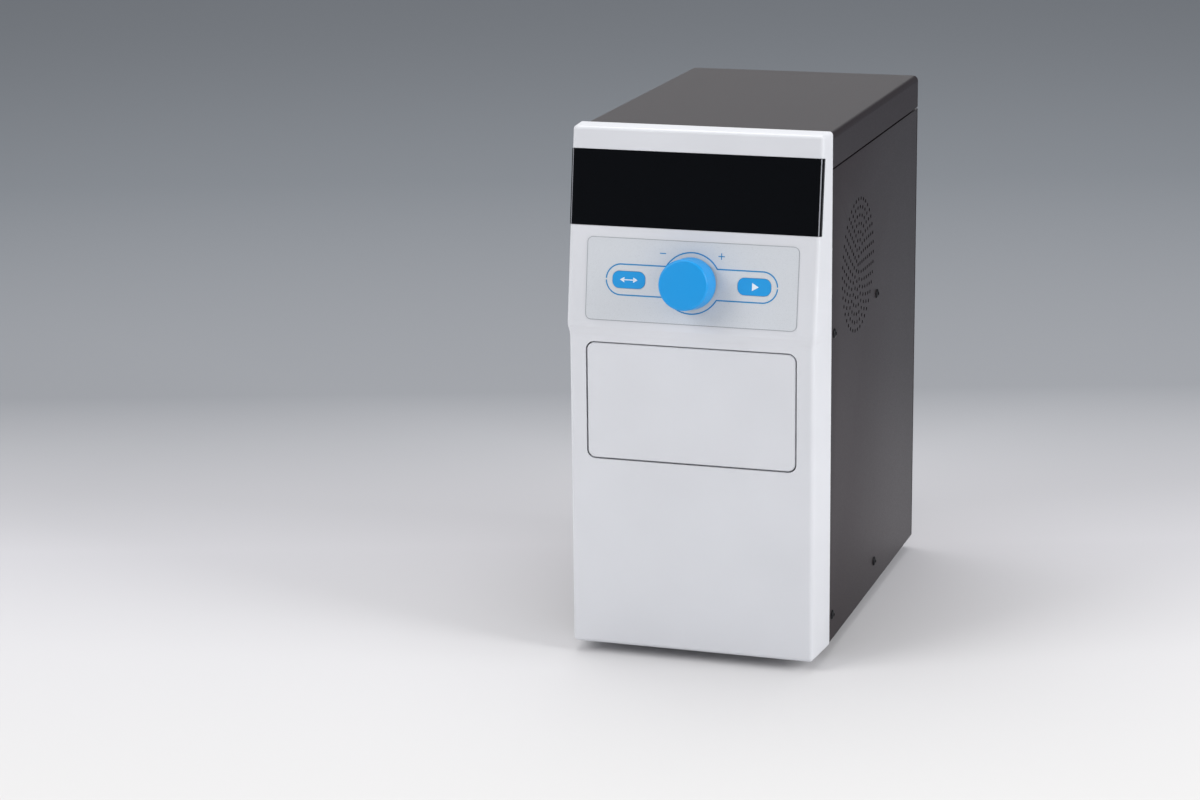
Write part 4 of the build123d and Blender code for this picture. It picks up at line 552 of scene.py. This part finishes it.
def trace(name, points):
    """Draws a chain of edges through points, starting from one vertex, and stays in edit mode."""
    piece = new_piece(name, bpy.ops.mesh.primitive_plane_add, size=MM)
    bpy.ops.mesh.merge(type="CENTER")
    bpy.ops.transform.translate(value=Vector(points[0]))
    for before, after in zip(points, points[1:]):
        bpy.ops.mesh.extrude_region_move(TRANSFORM_OT_translate={"value": Vector(after) - Vector(before)})
    return piece


def turned(name, profile, steps=TURNED_SIDES):
    """Spins a chain of (radius, height) points about Z into a closed piece."""
    piece = trace(name, [(radius, 0.0, height) for radius, height in profile])
    bpy.ops.mesh.select_all(action="SELECT")
    bpy.ops.mesh.spin(steps=steps, angle=2 * math.pi, center=(0, 0, 0), axis=(0, 0, 1))
    close_edit()
    return piece


def apply_modifier(piece, kind, **settings):
    """Adds a modifier with its settings and applies it."""
    pick(piece)
    modifier = piece.modifiers.new(kind.lower(), kind)
    for key, value in settings.items():
        setattr(modifier, key, value)
    bpy.ops.object.modifier_apply(modifier=modifier.name)


def cut_with(piece, cutter):
    """Takes a cutter's shape out of a piece and deletes the cutter."""
    apply_modifier(piece, "BOOLEAN", operation="DIFFERENCE", object=cutter, solver="EXACT")
    bpy.data.objects.remove(cutter)


def joined(pieces, name):
    """Joins pieces into the first one."""
    pick(*pieces)
    bpy.ops.object.join()
    rename(pieces[0], name)
    return pieces[0]


def copy_piece(piece, name):
    """A copy with its own mesh."""
    twin = piece.copy()
    twin.data = piece.data.copy()
    rename(twin, name)
    bpy.context.scene.collection.objects.link(twin)
    return twin


def carry(piece, matrix):
    """Moves a piece's mesh by a matrix, its object staying at the origin."""
    piece.data.transform(matrix)
    piece.data.update()


def dress(piece, finish_name, body, smooth=30):
    """Gives a new piece its finish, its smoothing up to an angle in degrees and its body."""
    pick(piece)
    bpy.ops.object.shade_smooth_by_angle(angle=math.radians(smooth))
    piece.data.materials.clear()
    piece.data.materials.append(FINISHES[finish_name])
    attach(piece, body)


def frame_at(point, direction, up=(0, 0, 1)):
    """A matrix whose local Z runs along a direction, with local Y as near as can be to up."""
    out = Vector(direction).normalized()
    across = Vector(up).cross(out)
    if across.length < TINY:
        across = Vector((1, 0, 0))
    across.normalize()
    upward = out.cross(across)
    return Matrix((
        (across.x, upward.x, out.x, point[0]),
        (across.y, upward.y, out.y, point[1]),
        (across.z, upward.z, out.z, point[2]),
        (0, 0, 0, 1),
    ))


def console_normal():
    """The way that the console faces, along the knob's axis."""
    return Vector(JOINTS["knob_turn"]["axis"]).normalized()


def console_frame(lift):
    """The console plane, its local Z out of the face, raised by a lift."""
    return frame_at(Vector(JOINTS["knob_turn"]["pos_m"]) + console_normal() * lift, console_normal())


def reach(node):
    """How far a node's front and back stand from the console plane."""
    origin = Vector(JOINTS["knob_turn"]["pos_m"])
    depths = [(vert.co - origin).dot(console_normal()) for vert in frame["nodes"][node].data.vertices]
    return max(depths), min(depths)


# Flat shapes for printed marks

def thicken(piece, thickness):
    """In edit mode, pulls flat faces out into a layer of ink."""
    bpy.ops.mesh.select_all(action="SELECT")
    bpy.ops.mesh.extrude_region_move(TRANSFORM_OT_translate={"value": (0, 0, thickness)})
    close_edit()


def hollow(width):
    """In edit mode, leaves only a rim of a flat face."""
    bpy.ops.mesh.select_all(action="SELECT")
    bpy.ops.mesh.inset(thickness=width)
    bpy.ops.mesh.delete(type="FACE")


def bar(name, along, across, thickness):
    """A thin flat bar about the origin."""
    piece = new_piece(name, bpy.ops.mesh.primitive_plane_add, size=1.0)
    bpy.ops.transform.resize(value=(along, across, 1))
    thicken(piece, thickness)
    return piece


def arrow_head(name, radius, way, thickness):
    """A flat triangle that points along local X, way 1 or -1."""
    piece = new_piece(name, bpy.ops.mesh.primitive_circle_add, vertices=3, radius=radius, fill_type="NGON")
    bpy.ops.transform.rotate(value=way * math.pi / 2, orient_axis="Z", center_override=(0, 0, 0))
    thicken(piece, thickness)
    return piece


def ring_of(name, half_length, radius, width):
    """A flat pill-shaped ring about the origin, left in edit mode; with no length it is round."""
    piece = new_piece(
        name, bpy.ops.mesh.primitive_circle_add, vertices=OUTLINE_SIDES, radius=radius + width / 2,
        fill_type="NGON",
    )
    for side in (-1, 1):
        select_where(piece, "verts", lambda vert: vert.co.x * side > TINY)
        bpy.ops.transform.translate(value=(side * half_length, 0, 0))
    hollow(width)
    return piece


def rounded_ring(name, half_x, half_y, corner, width, thickness):
    """A thin rectangular ring with rounded corners, just inside a given outline."""
    piece = new_piece(name, bpy.ops.mesh.primitive_plane_add, size=2.0)
    bpy.ops.transform.resize(value=(half_x, half_y, 1))
    bpy.ops.mesh.bevel(offset=corner, segments=CORNER_SEGMENTS, affect="VERTICES", offset_type="OFFSET")
    hollow(width)
    thicken(piece, thickness)
    return piece


class SEALER_OT_finishes(bpy.types.Operator):
    """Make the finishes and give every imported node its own"""

    bl_idname = "sealer.finishes"
    bl_label = "Finishes"

    def execute(self, context):
        make_finishes()
        for name, node in frame["nodes"].items():
            node.data.materials.clear()
            node.data.materials.append(FINISHES[SLOT_OF[name]])
        return {"FINISHED"}


class SEALER_OT_panel_print(bpy.types.Operator):
    """Print the blue outline and the plus and minus marks, and paint shade along the film's edge as a thin grey
    border
    """

    bl_idname = "sealer.panel_print"
    bl_label = "Panel print"

    def execute(self, context):
        size = sizes()
        half_height = size.outline_height / 2
        ring_radius = size.ring_diameter / 2
        width = size.outline_width
        meet_x = math.sqrt(ring_radius ** 2 - half_height ** 2)
        face = console_frame(reach("control_overlay")[0])

        # A quarter of the pill and the ring's top arc, both mirrored
        pill = ring_of("outline_ends", size.outline_half - half_height, half_height, width)
        keep_side((meet_x, 0, 0), (1, 0, 0))
        keep_side((0, size.outline_break / 2, 0), (0, 1, 0))
        thicken(pill, size.ink_thickness)
        arcs = ring_of("outline_ring", 0.0, ring_radius, width)
        keep_side((0, half_height - width / 2, 0), (0, 1, 0))
        thicken(arcs, size.ink_thickness)
        for piece, across in ((pill, True), (arcs, False)):
            apply_modifier(piece, "MIRROR", use_axis=(across, True, False), merge_threshold=TINY)

        # The film's border is a thin grey line of painted shade along its edge
        low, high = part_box("control_overlay")
        film_height = (high.z - low.z) / math.sqrt(1 - console_normal().z ** 2)
        border = rounded_ring(
            "film_border", (high.x - low.x) / 2, film_height / 2,
            size.border_corner, size.border_width, size.ink_thickness,
        )
        for piece, finish_name, slot in (
            (pill, "outline_print", "blue_print"),
            (arcs, "outline_print", "blue_print"),
            (border, "edge_painted_shade", "overlay"),
        ):
            carry(piece, face)
            dress(piece, finish_name, "casing")

        for name, sign, turns in (("minus_mark", -1, (0,)), ("plus_mark", 1, (0, 90))):
            strokes = []
            for turn in turns:
                stroke = bar(name, size.mark_size, size.mark_stroke, size.ink_thickness)
                carry(stroke, Matrix.Rotation(math.radians(turn), 4, "Z"))
                strokes.append(stroke)
            mark = joined(strokes, name)
            carry(mark, face @ Matrix.Translation((sign * size.mark_across, size.mark_up, 0)))
            dress(mark, "outline_print", "casing")
        return {"FINISHED"}


class SEALER_OT_key_symbols(bpy.types.Operator):
    """Print a generic symbol on each of the two keys"""

    bl_idname = "sealer.key_symbols"
    bl_label = "Key symbols"

    def execute(self, context):
        size = sizes()
        pieces = [bar("in_out_symbol", 2 * size.arrow_reach, size.mark_stroke, size.ink_thickness)]
        for way in (-1, 1):
            head = arrow_head("arrow", size.arrow, way, size.ink_thickness)
            carry(head, Matrix.Translation((way * size.arrow_reach, 0, 0)))
            pieces.append(head)
        double_arrow = joined(pieces, "in_out_symbol")
        triangle = arrow_head("start_symbol", START_SYMBOL * size.arrow, 1, size.ink_thickness)
        for node, body, symbol in (
            ("in_out_key", "in_out_button", double_arrow),
            ("start_key", "start_button", triangle),
        ):
            low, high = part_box(node)
            carry(symbol, console_frame(reach(node)[0]) @ Matrix.Translation(((low.x + high.x) / 2, 0, 0)))
            dress(symbol, "white_print", body)
        return {"FINISHED"}


class SEALER_OT_knob(bpy.types.Operator):
    """Turn the knob with its rounded front edge"""

    bl_idname = "sealer.knob"
    bl_label = "Knob"

    def execute(self, context):
        size = sizes()
        front, back = reach("control_knob")
        low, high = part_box("control_knob")
        radius = (high.x - low.x) / 2
        height = front - back
        rounding, foot = size.knob_round, size.knob_foot
        taper = radius - size.knob_taper
        profile = [(0.0, 0.0), (radius - foot, 0.0), (radius, foot)]
        for degrees in range(0, 91, ARC_STEP):
            turn = math.radians(degrees)
            profile.append((
                taper - rounding * (1 - math.cos(turn)),
                height - rounding * (1 - math.sin(turn)),
            ))
        profile.append((0.0, height))
        knob = turned("knob", profile, KNOB_SIDES)
        carry(knob, console_frame(back))
        dress(knob, "blue_knob", "knob", smooth=40)
        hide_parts("control_knob")
        return {"FINISHED"}


def button_head(radius, height):
    """A domed head with a hexagon socket, seated on z = 0."""
    profile = [(0.0, 0.0), (radius, 0.0), (radius, HEAD_RIM * height)]
    for degrees in range(ARC_STEP, 75, ARC_STEP):
        turn = math.radians(degrees)
        profile.append((radius * math.cos(turn), height * (HEAD_RIM + (1 - HEAD_RIM) * math.sin(turn))))
    profile.append((HEAD_FLAT * radius, height))
    profile.append((0.0, height))
    head = turned("button_head", profile)
    cutter = new_piece(
        "socket_cutter", bpy.ops.mesh.primitive_cylinder_add, vertices=6, radius=SOCKET_RADIUS * radius,
        depth=2 * height, location=(0, 0, (1 + SOCKET_FLOOR) * height),
    )
    close_edit()
    cut_with(head, cutter)
    return head


class SEALER_OT_button_screws(bpy.types.Operator):
    """Put round button heads with hexagon sockets in the casing"""

    bl_idname = "sealer.button_screws"
    bl_label = "Button screws"

    def execute(self, context):
        low, high = solids("panel_screws")[0]
        head = button_head(max(high - low) / 2, min(high - low))
        for node in ("panel_screws", "rear_screws"):
            for number, (low, high) in enumerate(solids(node), 1):
                spans = high - low
                axis = min(range(3), key=lambda i: spans[i])
                way = 1 if low[axis] + high[axis] > 0 else -1
                seat = (low + high) / 2
                seat[axis] = low[axis] if way > 0 else high[axis]
                out = Vector(way if i == axis else 0 for i in range(3))
                # Each socket stands at an angle of its own
                screw = copy_piece(head, f"{node[:-1]}_{number}")
                carry(screw, frame_at(seat, out) @ Matrix.Rotation(number, 4, "Z"))
                dress(screw, "black_screw", "casing", smooth=40)
                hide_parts(node)
        bpy.data.objects.remove(head)
        return {"FINISHED"}


def vent_cutter(middle, size):
    """Rings of round punches about a point, along X."""
    hole = {"vertices": HOLE_SIDES, "radius": size.vent_hole / 2, "fill_type": "NGON"}
    cutter = new_piece("vent_cutter", bpy.ops.mesh.primitive_circle_add, **hole)
    for ring in range(1, size.vent_rings + 1):
        bpy.ops.mesh.select_all(action="DESELECT")
        bpy.ops.mesh.primitive_circle_add(location=(ring * size.vent_pitch, 0, 0), **hole)
        bpy.ops.mesh.spin(
            steps=ring * size.vent_step, dupli=True, angle=2 * math.pi, center=(0, 0, 0), axis=(0, 0, 1)
        )
    bpy.ops.mesh.select_all(action="SELECT")
    bpy.ops.mesh.remove_doubles(threshold=WELD)
    # The punches run from behind the sheet to in front of it
    bpy.ops.transform.translate(value=(0, 0, -2 * size.sheet))
    bpy.ops.mesh.extrude_region_move(TRANSFORM_OT_translate={"value": (0, 0, 3 * size.sheet)})
    close_edit()
    carry(cutter, frame_at(middle, (1, 0, 0)))
    return cutter


class SEALER_OT_vented_panel(bpy.types.Operator):
    """Fold the right side panel from sheet and punch its ring of round holes"""

    bl_idname = "sealer.vented_panel"
    bl_label = "Vented panel"

    def execute(self, context):
        size = sizes()
        low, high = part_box("right_side_panel")
        panel = new_piece(
            "vented_panel", bpy.ops.mesh.primitive_cube_add, size=1.0, location=(low + high) / 2,
            scale=high - low,
        )
        # The two upright outer edges are folds, the inner and lower faces are open
        mesh = bmesh.from_edit_mesh(panel.data)
        bpy.ops.mesh.select_all(action="DESELECT")
        for edge in mesh.edges:
            first, second = (vert.co for vert in edge.verts)
            outer = min(first.x, second.x) > high.x - TINY
            if outer and abs(first.z - second.z) > MM:
                edge.select_set(True)
        bmesh.update_edit_mesh(panel.data)
        bpy.ops.mesh.bevel(offset=size.sheet, segments=FOLD_SEGMENTS, affect="EDGES")
        delete_faces(panel, lambda face: face.normal.x < -FACING or face.normal.z < -FACING)
        close_edit()
        apply_modifier(panel, "SOLIDIFY", thickness=size.sheet, offset=-1.0)
        fan = JOINTS["fan_spin"]["pos_m"]
        cut_with(panel, vent_cutter(Vector((high.x, fan[1], fan[2])), size))
        dress(panel, "dark_coat", "casing")
        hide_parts("right_side_panel")
        return {"FINISHED"}


class SEALER_OT_lead_screw(bpy.types.Operator):
    """Cut the four-start thread of the press's lead screw"""

    bl_idname = "sealer.lead_screw"
    bl_label = "Lead screw"

    def execute(self, context):
        size = sizes()
        low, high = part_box("lead_screw")
        middle = (low + high) / 2
        height = high.z - low.z
        lead = size.screw_lead
        verts = frame["nodes"]["lead_screw"].data.vertices
        radius = max(abs(vert.co.x - middle.x) for vert in verts if vert.co.z > high.z - 10 * TINY)
        flange_radius = (high.x - low.x) / 2
        # Only the flange is half as wide again as the screw
        flange_top = max(vert.co.z for vert in verts if abs(vert.co.x - middle.x) > 1.5 * radius) - low.z

        pitch = lead / size.thread_starts
        root = radius - size.thread_depth
        points = [(root, 0.0, -lead)]
        for start in range(size.thread_starts):
            for share, ridge in zip(THREAD_SHARES, (root, radius, radius, root)):
                points.append((ridge, 0.0, -lead + (start + share) * pitch))
        points.append((root, 0.0, 0.0))
        thread = trace("lead_screw_thread", points)
        close_edit()
        apply_modifier(
            thread, "SCREW", axis="Z", angle=2 * math.pi, screw_offset=lead,
            iterations=math.ceil(height / lead) + 2, steps=TURNED_SIDES, render_steps=TURNED_SIDES,
            use_merge_vertices=True, merge_threshold=WELD,
        )
        bpy.ops.object.mode_set(mode="EDIT")
        for level, normal in ((flange_top / 2, 1), (height, -1)):
            bpy.ops.mesh.select_all(action="SELECT")
            bpy.ops.mesh.bisect(
                plane_co=(0, 0, level), plane_no=(0, 0, normal), clear_inner=True, use_fill=True
            )
        close_edit()

        edge = size.flange_edge
        flange = turned("lead_screw_flange", [
            (0.0, 0.0), (flange_radius - edge, 0.0), (flange_radius, edge),
            (flange_radius, flange_top - edge), (flange_radius - edge, flange_top), (0.0, flange_top),
        ])
        screw = joined([thread, flange], "lead_screw_thread")
        carry(screw, Matrix.Translation((middle.x, middle.y, low.z)))
        dress(screw, "ground_steel", "press")
        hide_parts("lead_screw")
        return {"FINISHED"}


class SEALER_OT_springs(bpy.types.Operator):
    """Wind the springs that the heated platen floats on"""

    bl_idname = "sealer.springs"
    bl_label = "Springs"

    def execute(self, context):
        size = sizes()
        wire = size.spring_wire / 2
        for number, (low, high) in enumerate(solids("float_springs"), 1):
            middle = (low + high) / 2
            height = high.z - low.z
            spring = new_piece(
                f"float_spring_{number}", bpy.ops.mesh.primitive_circle_add, vertices=WIRE_SIDES, radius=wire,
                location=((high.x - low.x) / 2 - wire, 0, wire), rotation=(math.pi / 2, 0, 0),
            )
            close_edit()
            apply_modifier(
                spring, "SCREW", axis="Z", angle=2 * math.pi, iterations=size.spring_turns,
                screw_offset=(height - 2 * wire) / size.spring_turns,
                steps=SPRING_STEPS, render_steps=SPRING_STEPS,
            )
            bpy.ops.object.mode_set(mode="EDIT")
            bpy.ops.mesh.select_all(action="SELECT")
            bpy.ops.mesh.fill_holes(sides=0)
            close_edit()
            carry(spring, Matrix.Translation((middle.x, middle.y, low.z)))
            dress(spring, SLOT_OF["float_springs"], "press")
            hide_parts("float_springs")
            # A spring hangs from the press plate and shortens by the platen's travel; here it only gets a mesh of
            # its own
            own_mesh(spring)
        return {"FINISHED"}


class SEALER_OT_painted_window_highlights(bpy.types.Operator):
    """Paint a highlight along the bevelled ends of the display window, as a pale strip over them"""

    bl_idname = "sealer.window_edges"
    bl_label = "Window edges"

    def execute(self, context):
        size = sizes()
        # The window's own bevelled faces, cut back to a thin strip at each end, carry the painted highlight
        piece = new_piece("window_edges", bpy.ops.mesh.primitive_plane_add, size=MM)
        mesh = bmesh.from_edit_mesh(piece.data)
        mesh.clear()
        mesh.from_mesh(frame["nodes"]["display_window"].data)
        bmesh.update_edit_mesh(piece.data)
        bpy.ops.mesh.select_all(action="SELECT")
        bpy.ops.mesh.remove_doubles(threshold=WELD)
        delete_faces(piece, lambda face: not SIDEWAYS[0] < abs(face.normal.x) < SIDEWAYS[1])
        inner = min(abs(vert.co.x) for vert in bmesh.from_edit_mesh(piece.data).verts)
        for side in (-1, 1):
            keep_side((side * (inner + size.window_edge), 0, 0), (-side, 0, 0))
        bpy.ops.object.mode_set(mode="OBJECT")
        apply_modifier(piece, "SOLIDIFY", thickness=size.ink_thickness, offset=1.0)
        dress(piece, "window_edge", "casing")
        return {"FINISHED"}


class SEALER_OT_rocker_marks(bpy.types.Operator):
    """Mark the power switch with a line and a ring"""

    bl_idname = "sealer.rocker_marks"
    bl_label = "Rocker marks"

    def execute(self, context):
        size = sizes()
        # The rocker's two wings, told apart by how they lean
        wings = {}
        for face in sorted(frame["nodes"]["power_rocker"].data.polygons, key=lambda face: -face.normal.y):
            if face.normal.y > FACING:
                wings.setdefault(round(face.normal.z, 2), []).append(face)
        for wing in wings.values():
            area = sum(face.area for face in wing)
            middle = sum((face.center * face.area for face in wing), Vector()) / area
            place = frame_at(middle, wing[0].normal)
            if middle.z > JOINTS["rocker_tip"]["pos_m"][2]:
                mark = bar("rocker_line", size.mark_size, size.mark_stroke, size.ink_thickness)
                place = place @ Matrix.Rotation(math.pi / 2, 4, "Z")
            else:
                mark = ring_of("rocker_ring", 0.0, size.mark_size / 2, size.mark_stroke)
                thicken(mark, size.ink_thickness)
            carry(mark, place)
            dress(mark, "white_print", "rocker")
        return {"FINISHED"}


# Camera: turned about Z, tipped down and rolled as a fit to the object's edges gives
CAMERA_AT = (0.57137, -2.08260, 0.71566)
CAMERA_AZIMUTH = 18.169
CAMERA_ELEVATION = 14.616
CAMERA_ROLL = 0.701
CAMERA_LENS = 92.24
VIEW_END = 100.0
# Lamps: name, place, aim, width and height, watts
LAMPS = (
    ("key_light", (-1.8, -1.9, 1.9), (0, 0, 0.18), (1.5, 1.5), 36),
    ("side_light", (2.5, -0.35, 1.2), (0, 0, 0.2), (1.4, 1.6), 45),
    ("top_light", (-0.3, 0.5, 2.3), (0, 0, 0.1), (1.8, 1.8), 34),
    ("back_light", (-1.6, 4.2, 1.35), (0, 0, 0.37), (3.0, 1.4), 8),
)
# The floor's size, and how far behind the object each tone of painted shade starts and is full, in metres
FLOOR_SIZE = 60.0
FLOOR_TONES = (("floor_middle", -0.4, 0.12), ("floor_back", 0.14, 0.62), ("floor_far", 0.62, 1.7))
# The seen sky darkens between these heights of its direction, by this share
SKY_RISE = (0.05, 0.6)
SKY_DARKER = -0.75


def set_camera():
    """Sets the camera at the object's fitted viewing angle."""
    azimuth, elevation, roll = (math.radians(v) for v in (CAMERA_AZIMUTH, CAMERA_ELEVATION, CAMERA_ROLL))
    back = Vector((
        math.sin(azimuth) * math.cos(elevation),
        -math.cos(azimuth) * math.cos(elevation),
        math.sin(elevation),
    ))
    right = (-back).cross(Vector((0, 0, 1))).normalized()
    down = (-back).cross(right)
    turned_right = math.cos(roll) * right + math.sin(roll) * down
    turned_down = -math.sin(roll) * right + math.cos(roll) * down
    data = bpy.data.cameras.new("camera")
    camera = bpy.data.objects.new("camera", data)
    bpy.context.scene.collection.objects.link(camera)
    data.lens = CAMERA_LENS
    data.clip_end = VIEW_END
    turn = Matrix((turned_right, -turned_down, back)).transposed().to_4x4()
    camera.matrix_world = Matrix.Translation(CAMERA_AT) @ turn
    bpy.context.scene.camera = camera


def soft_box(name, at, aim, size, watts):
    """A large rectangular lamp that looks at a point."""
    data = bpy.data.lights.new(name, "AREA")
    data.shape = "RECTANGLE"
    data.size, data.size_y = size
    data.energy = watts
    lamp = bpy.data.objects.new(name, data)
    bpy.context.scene.collection.objects.link(lamp)
    lamp.location = at
    lamp.rotation_mode = "QUATERNION"
    lamp.rotation_quaternion = (Vector(aim) - Vector(at)).to_track_quat("-Z", "Y")


def seen_rays(material):
    """1 for camera, glossy and transmission rays, 0 for light that only fills."""
    seen = add_node(material, "ShaderNodeLightPath", output="Is Camera Ray")
    rays = seen.node.outputs
    for kind in ("Is Glossy Ray", "Is Transmission Ray"):
        seen = add_node(material, "ShaderNodeMath", {"operation": "MAXIMUM"}, {0: seen, 1: rays[kind]})
    return seen


def floor_paper():
    """Background paper: near-white in front, greyer behind as painted shade where the studio light falls off, and
    one pale tone for the light.
    """
    material, place = begin("background_paper")
    tones = colours()
    azimuth = math.radians(CAMERA_AZIMUTH)
    depth = add_node(
        material,
        "ShaderNodeVectorMath",
        {"operation": "DOT_PRODUCT"},
        {0: place, 1: (-math.sin(azimuth), math.cos(azimuth), 0)},
        "Value",
    )
    shown = tones.floor_near
    for tone, start, end in FLOOR_TONES:
        share = add_node(material, RANGE, inputs={"Value": depth, "From Min": start, "From Max": end})
        shown = add_node(material, *MIX, {FACTOR: share, FIRST: shown, SECOND: getattr(tones, tone)}, MIXED)
    seen = seen_rays(material)
    paper = add_node(material, *MIX, {FACTOR: seen, FIRST: tones.floor_fill, SECOND: shown}, MIXED)
    shader = add_node(material, "ShaderNodeBsdfDiffuse", inputs={"Color": paper, "Roughness": 0.5})
    add_node(material, "ShaderNodeOutputMaterial", inputs={"Surface": shader})
    return material


def set_world():
    """An even pale sky for the light, and a grey one where it is seen or reflected."""
    world = bpy.data.worlds.new("studio")
    world.use_nodes = True
    world.node_tree.nodes.clear()
    tones = colours()
    way = add_node(world, "ShaderNodeTexCoord", output="Object")
    height = add_node(world, "ShaderNodeSeparateXYZ", inputs={0: way}, output="Z")
    start, end = SKY_RISE
    rise = add_node(world, RANGE, inputs={"Value": height, "From Min": start, "From Max": end})
    high = lighter(tones.floor_far, SKY_DARKER)
    shown = add_node(world, *MIX, {FACTOR: rise, FIRST: tones.floor_far, SECOND: high}, MIXED)
    seen = seen_rays(world)
    sky = add_node(world, *MIX, {FACTOR: seen, FIRST: tones.sky, SECOND: shown}, MIXED)
    shader = add_node(world, "ShaderNodeBackground", inputs={"Color": sky, "Strength": 1.0})
    add_node(world, "ShaderNodeOutputWorld", inputs={"Surface": shader})
    bpy.context.scene.world = world
    bpy.context.scene.view_settings.view_transform = "Standard"


class SEALER_OT_stage(bpy.types.Operator):
    """Lay the pale floor, light it softly and set the camera"""

    bl_idname = "sealer.stage"
    bl_label = "Studio"

    def execute(self, context):
        clear_selection()
        bpy.ops.mesh.primitive_plane_add(size=FLOOR_SIZE)
        floor = context.object
        floor.name = "floor"
        floor.data.materials.append(floor_paper())
        set_world()
        for name, at, aim, size, watts in LAMPS:
            soft_box(name, at, aim, size, watts)
        set_camera()
        return {"FINISHED"}


class SEALER_PT_panel(bpy.types.Panel):
    """Lists the steps that dress the sealer, its sizes and its colours"""

    bl_idname = "SEALER_PT_panel"
    bl_label = "Microplate sealer"
    bl_space_type = "VIEW_3D"
    bl_region_type = "UI"
    bl_category = "Sealer"

    def draw(self, context):
        """Draws a button for each step and a field for each size and colour."""
        for step in STEPS:
            self.layout.operator(step.bl_idname)
        for group in (sizes(), colours()):
            for name in group.bl_rna.properties.keys():
                if name not in ("rna_type", "name"):
                    self.layout.prop(group, name)


STEPS = (
    SEALER_OT_finishes,
    SEALER_OT_panel_print,
    SEALER_OT_key_symbols,
    SEALER_OT_knob,
    SEALER_OT_button_screws,
    SEALER_OT_vented_panel,
    SEALER_OT_lead_screw,
    SEALER_OT_springs,
    SEALER_OT_painted_window_highlights,
    SEALER_OT_rocker_marks,
    SEALER_OT_stage,
)
CLASSES = (SealerColours, SealerSizes, *STEPS, SEALER_PT_panel)


def register():
    """Registers the classes and puts the sizes and colours on the scene."""
    for kind in CLASSES:
        bpy.utils.register_class(kind)
    bpy.types.Scene.sealer_colours = PointerProperty(type=SealerColours)
    bpy.types.Scene.sealer_sizes = PointerProperty(type=SealerSizes)


def unregister():
    """Takes the sizes, colours and classes away."""
    del bpy.types.Scene.sealer_sizes
    del bpy.types.Scene.sealer_colours
    for kind in reversed(CLASSES):
        bpy.utils.unregister_class(kind)


def main():
    """Runs the steps in order."""
    register()
    bpy.ops.sealer.finishes()
    bpy.ops.sealer.panel_print()
    bpy.ops.sealer.key_symbols()
    bpy.ops.sealer.knob()
    bpy.ops.sealer.button_screws()
    bpy.ops.sealer.vented_panel()
    bpy.ops.sealer.lead_screw()
    bpy.ops.sealer.springs()
    bpy.ops.sealer.window_edges()
    bpy.ops.sealer.rocker_marks()
    bpy.ops.sealer.stage()


if __name__ == "__main__":
    main()
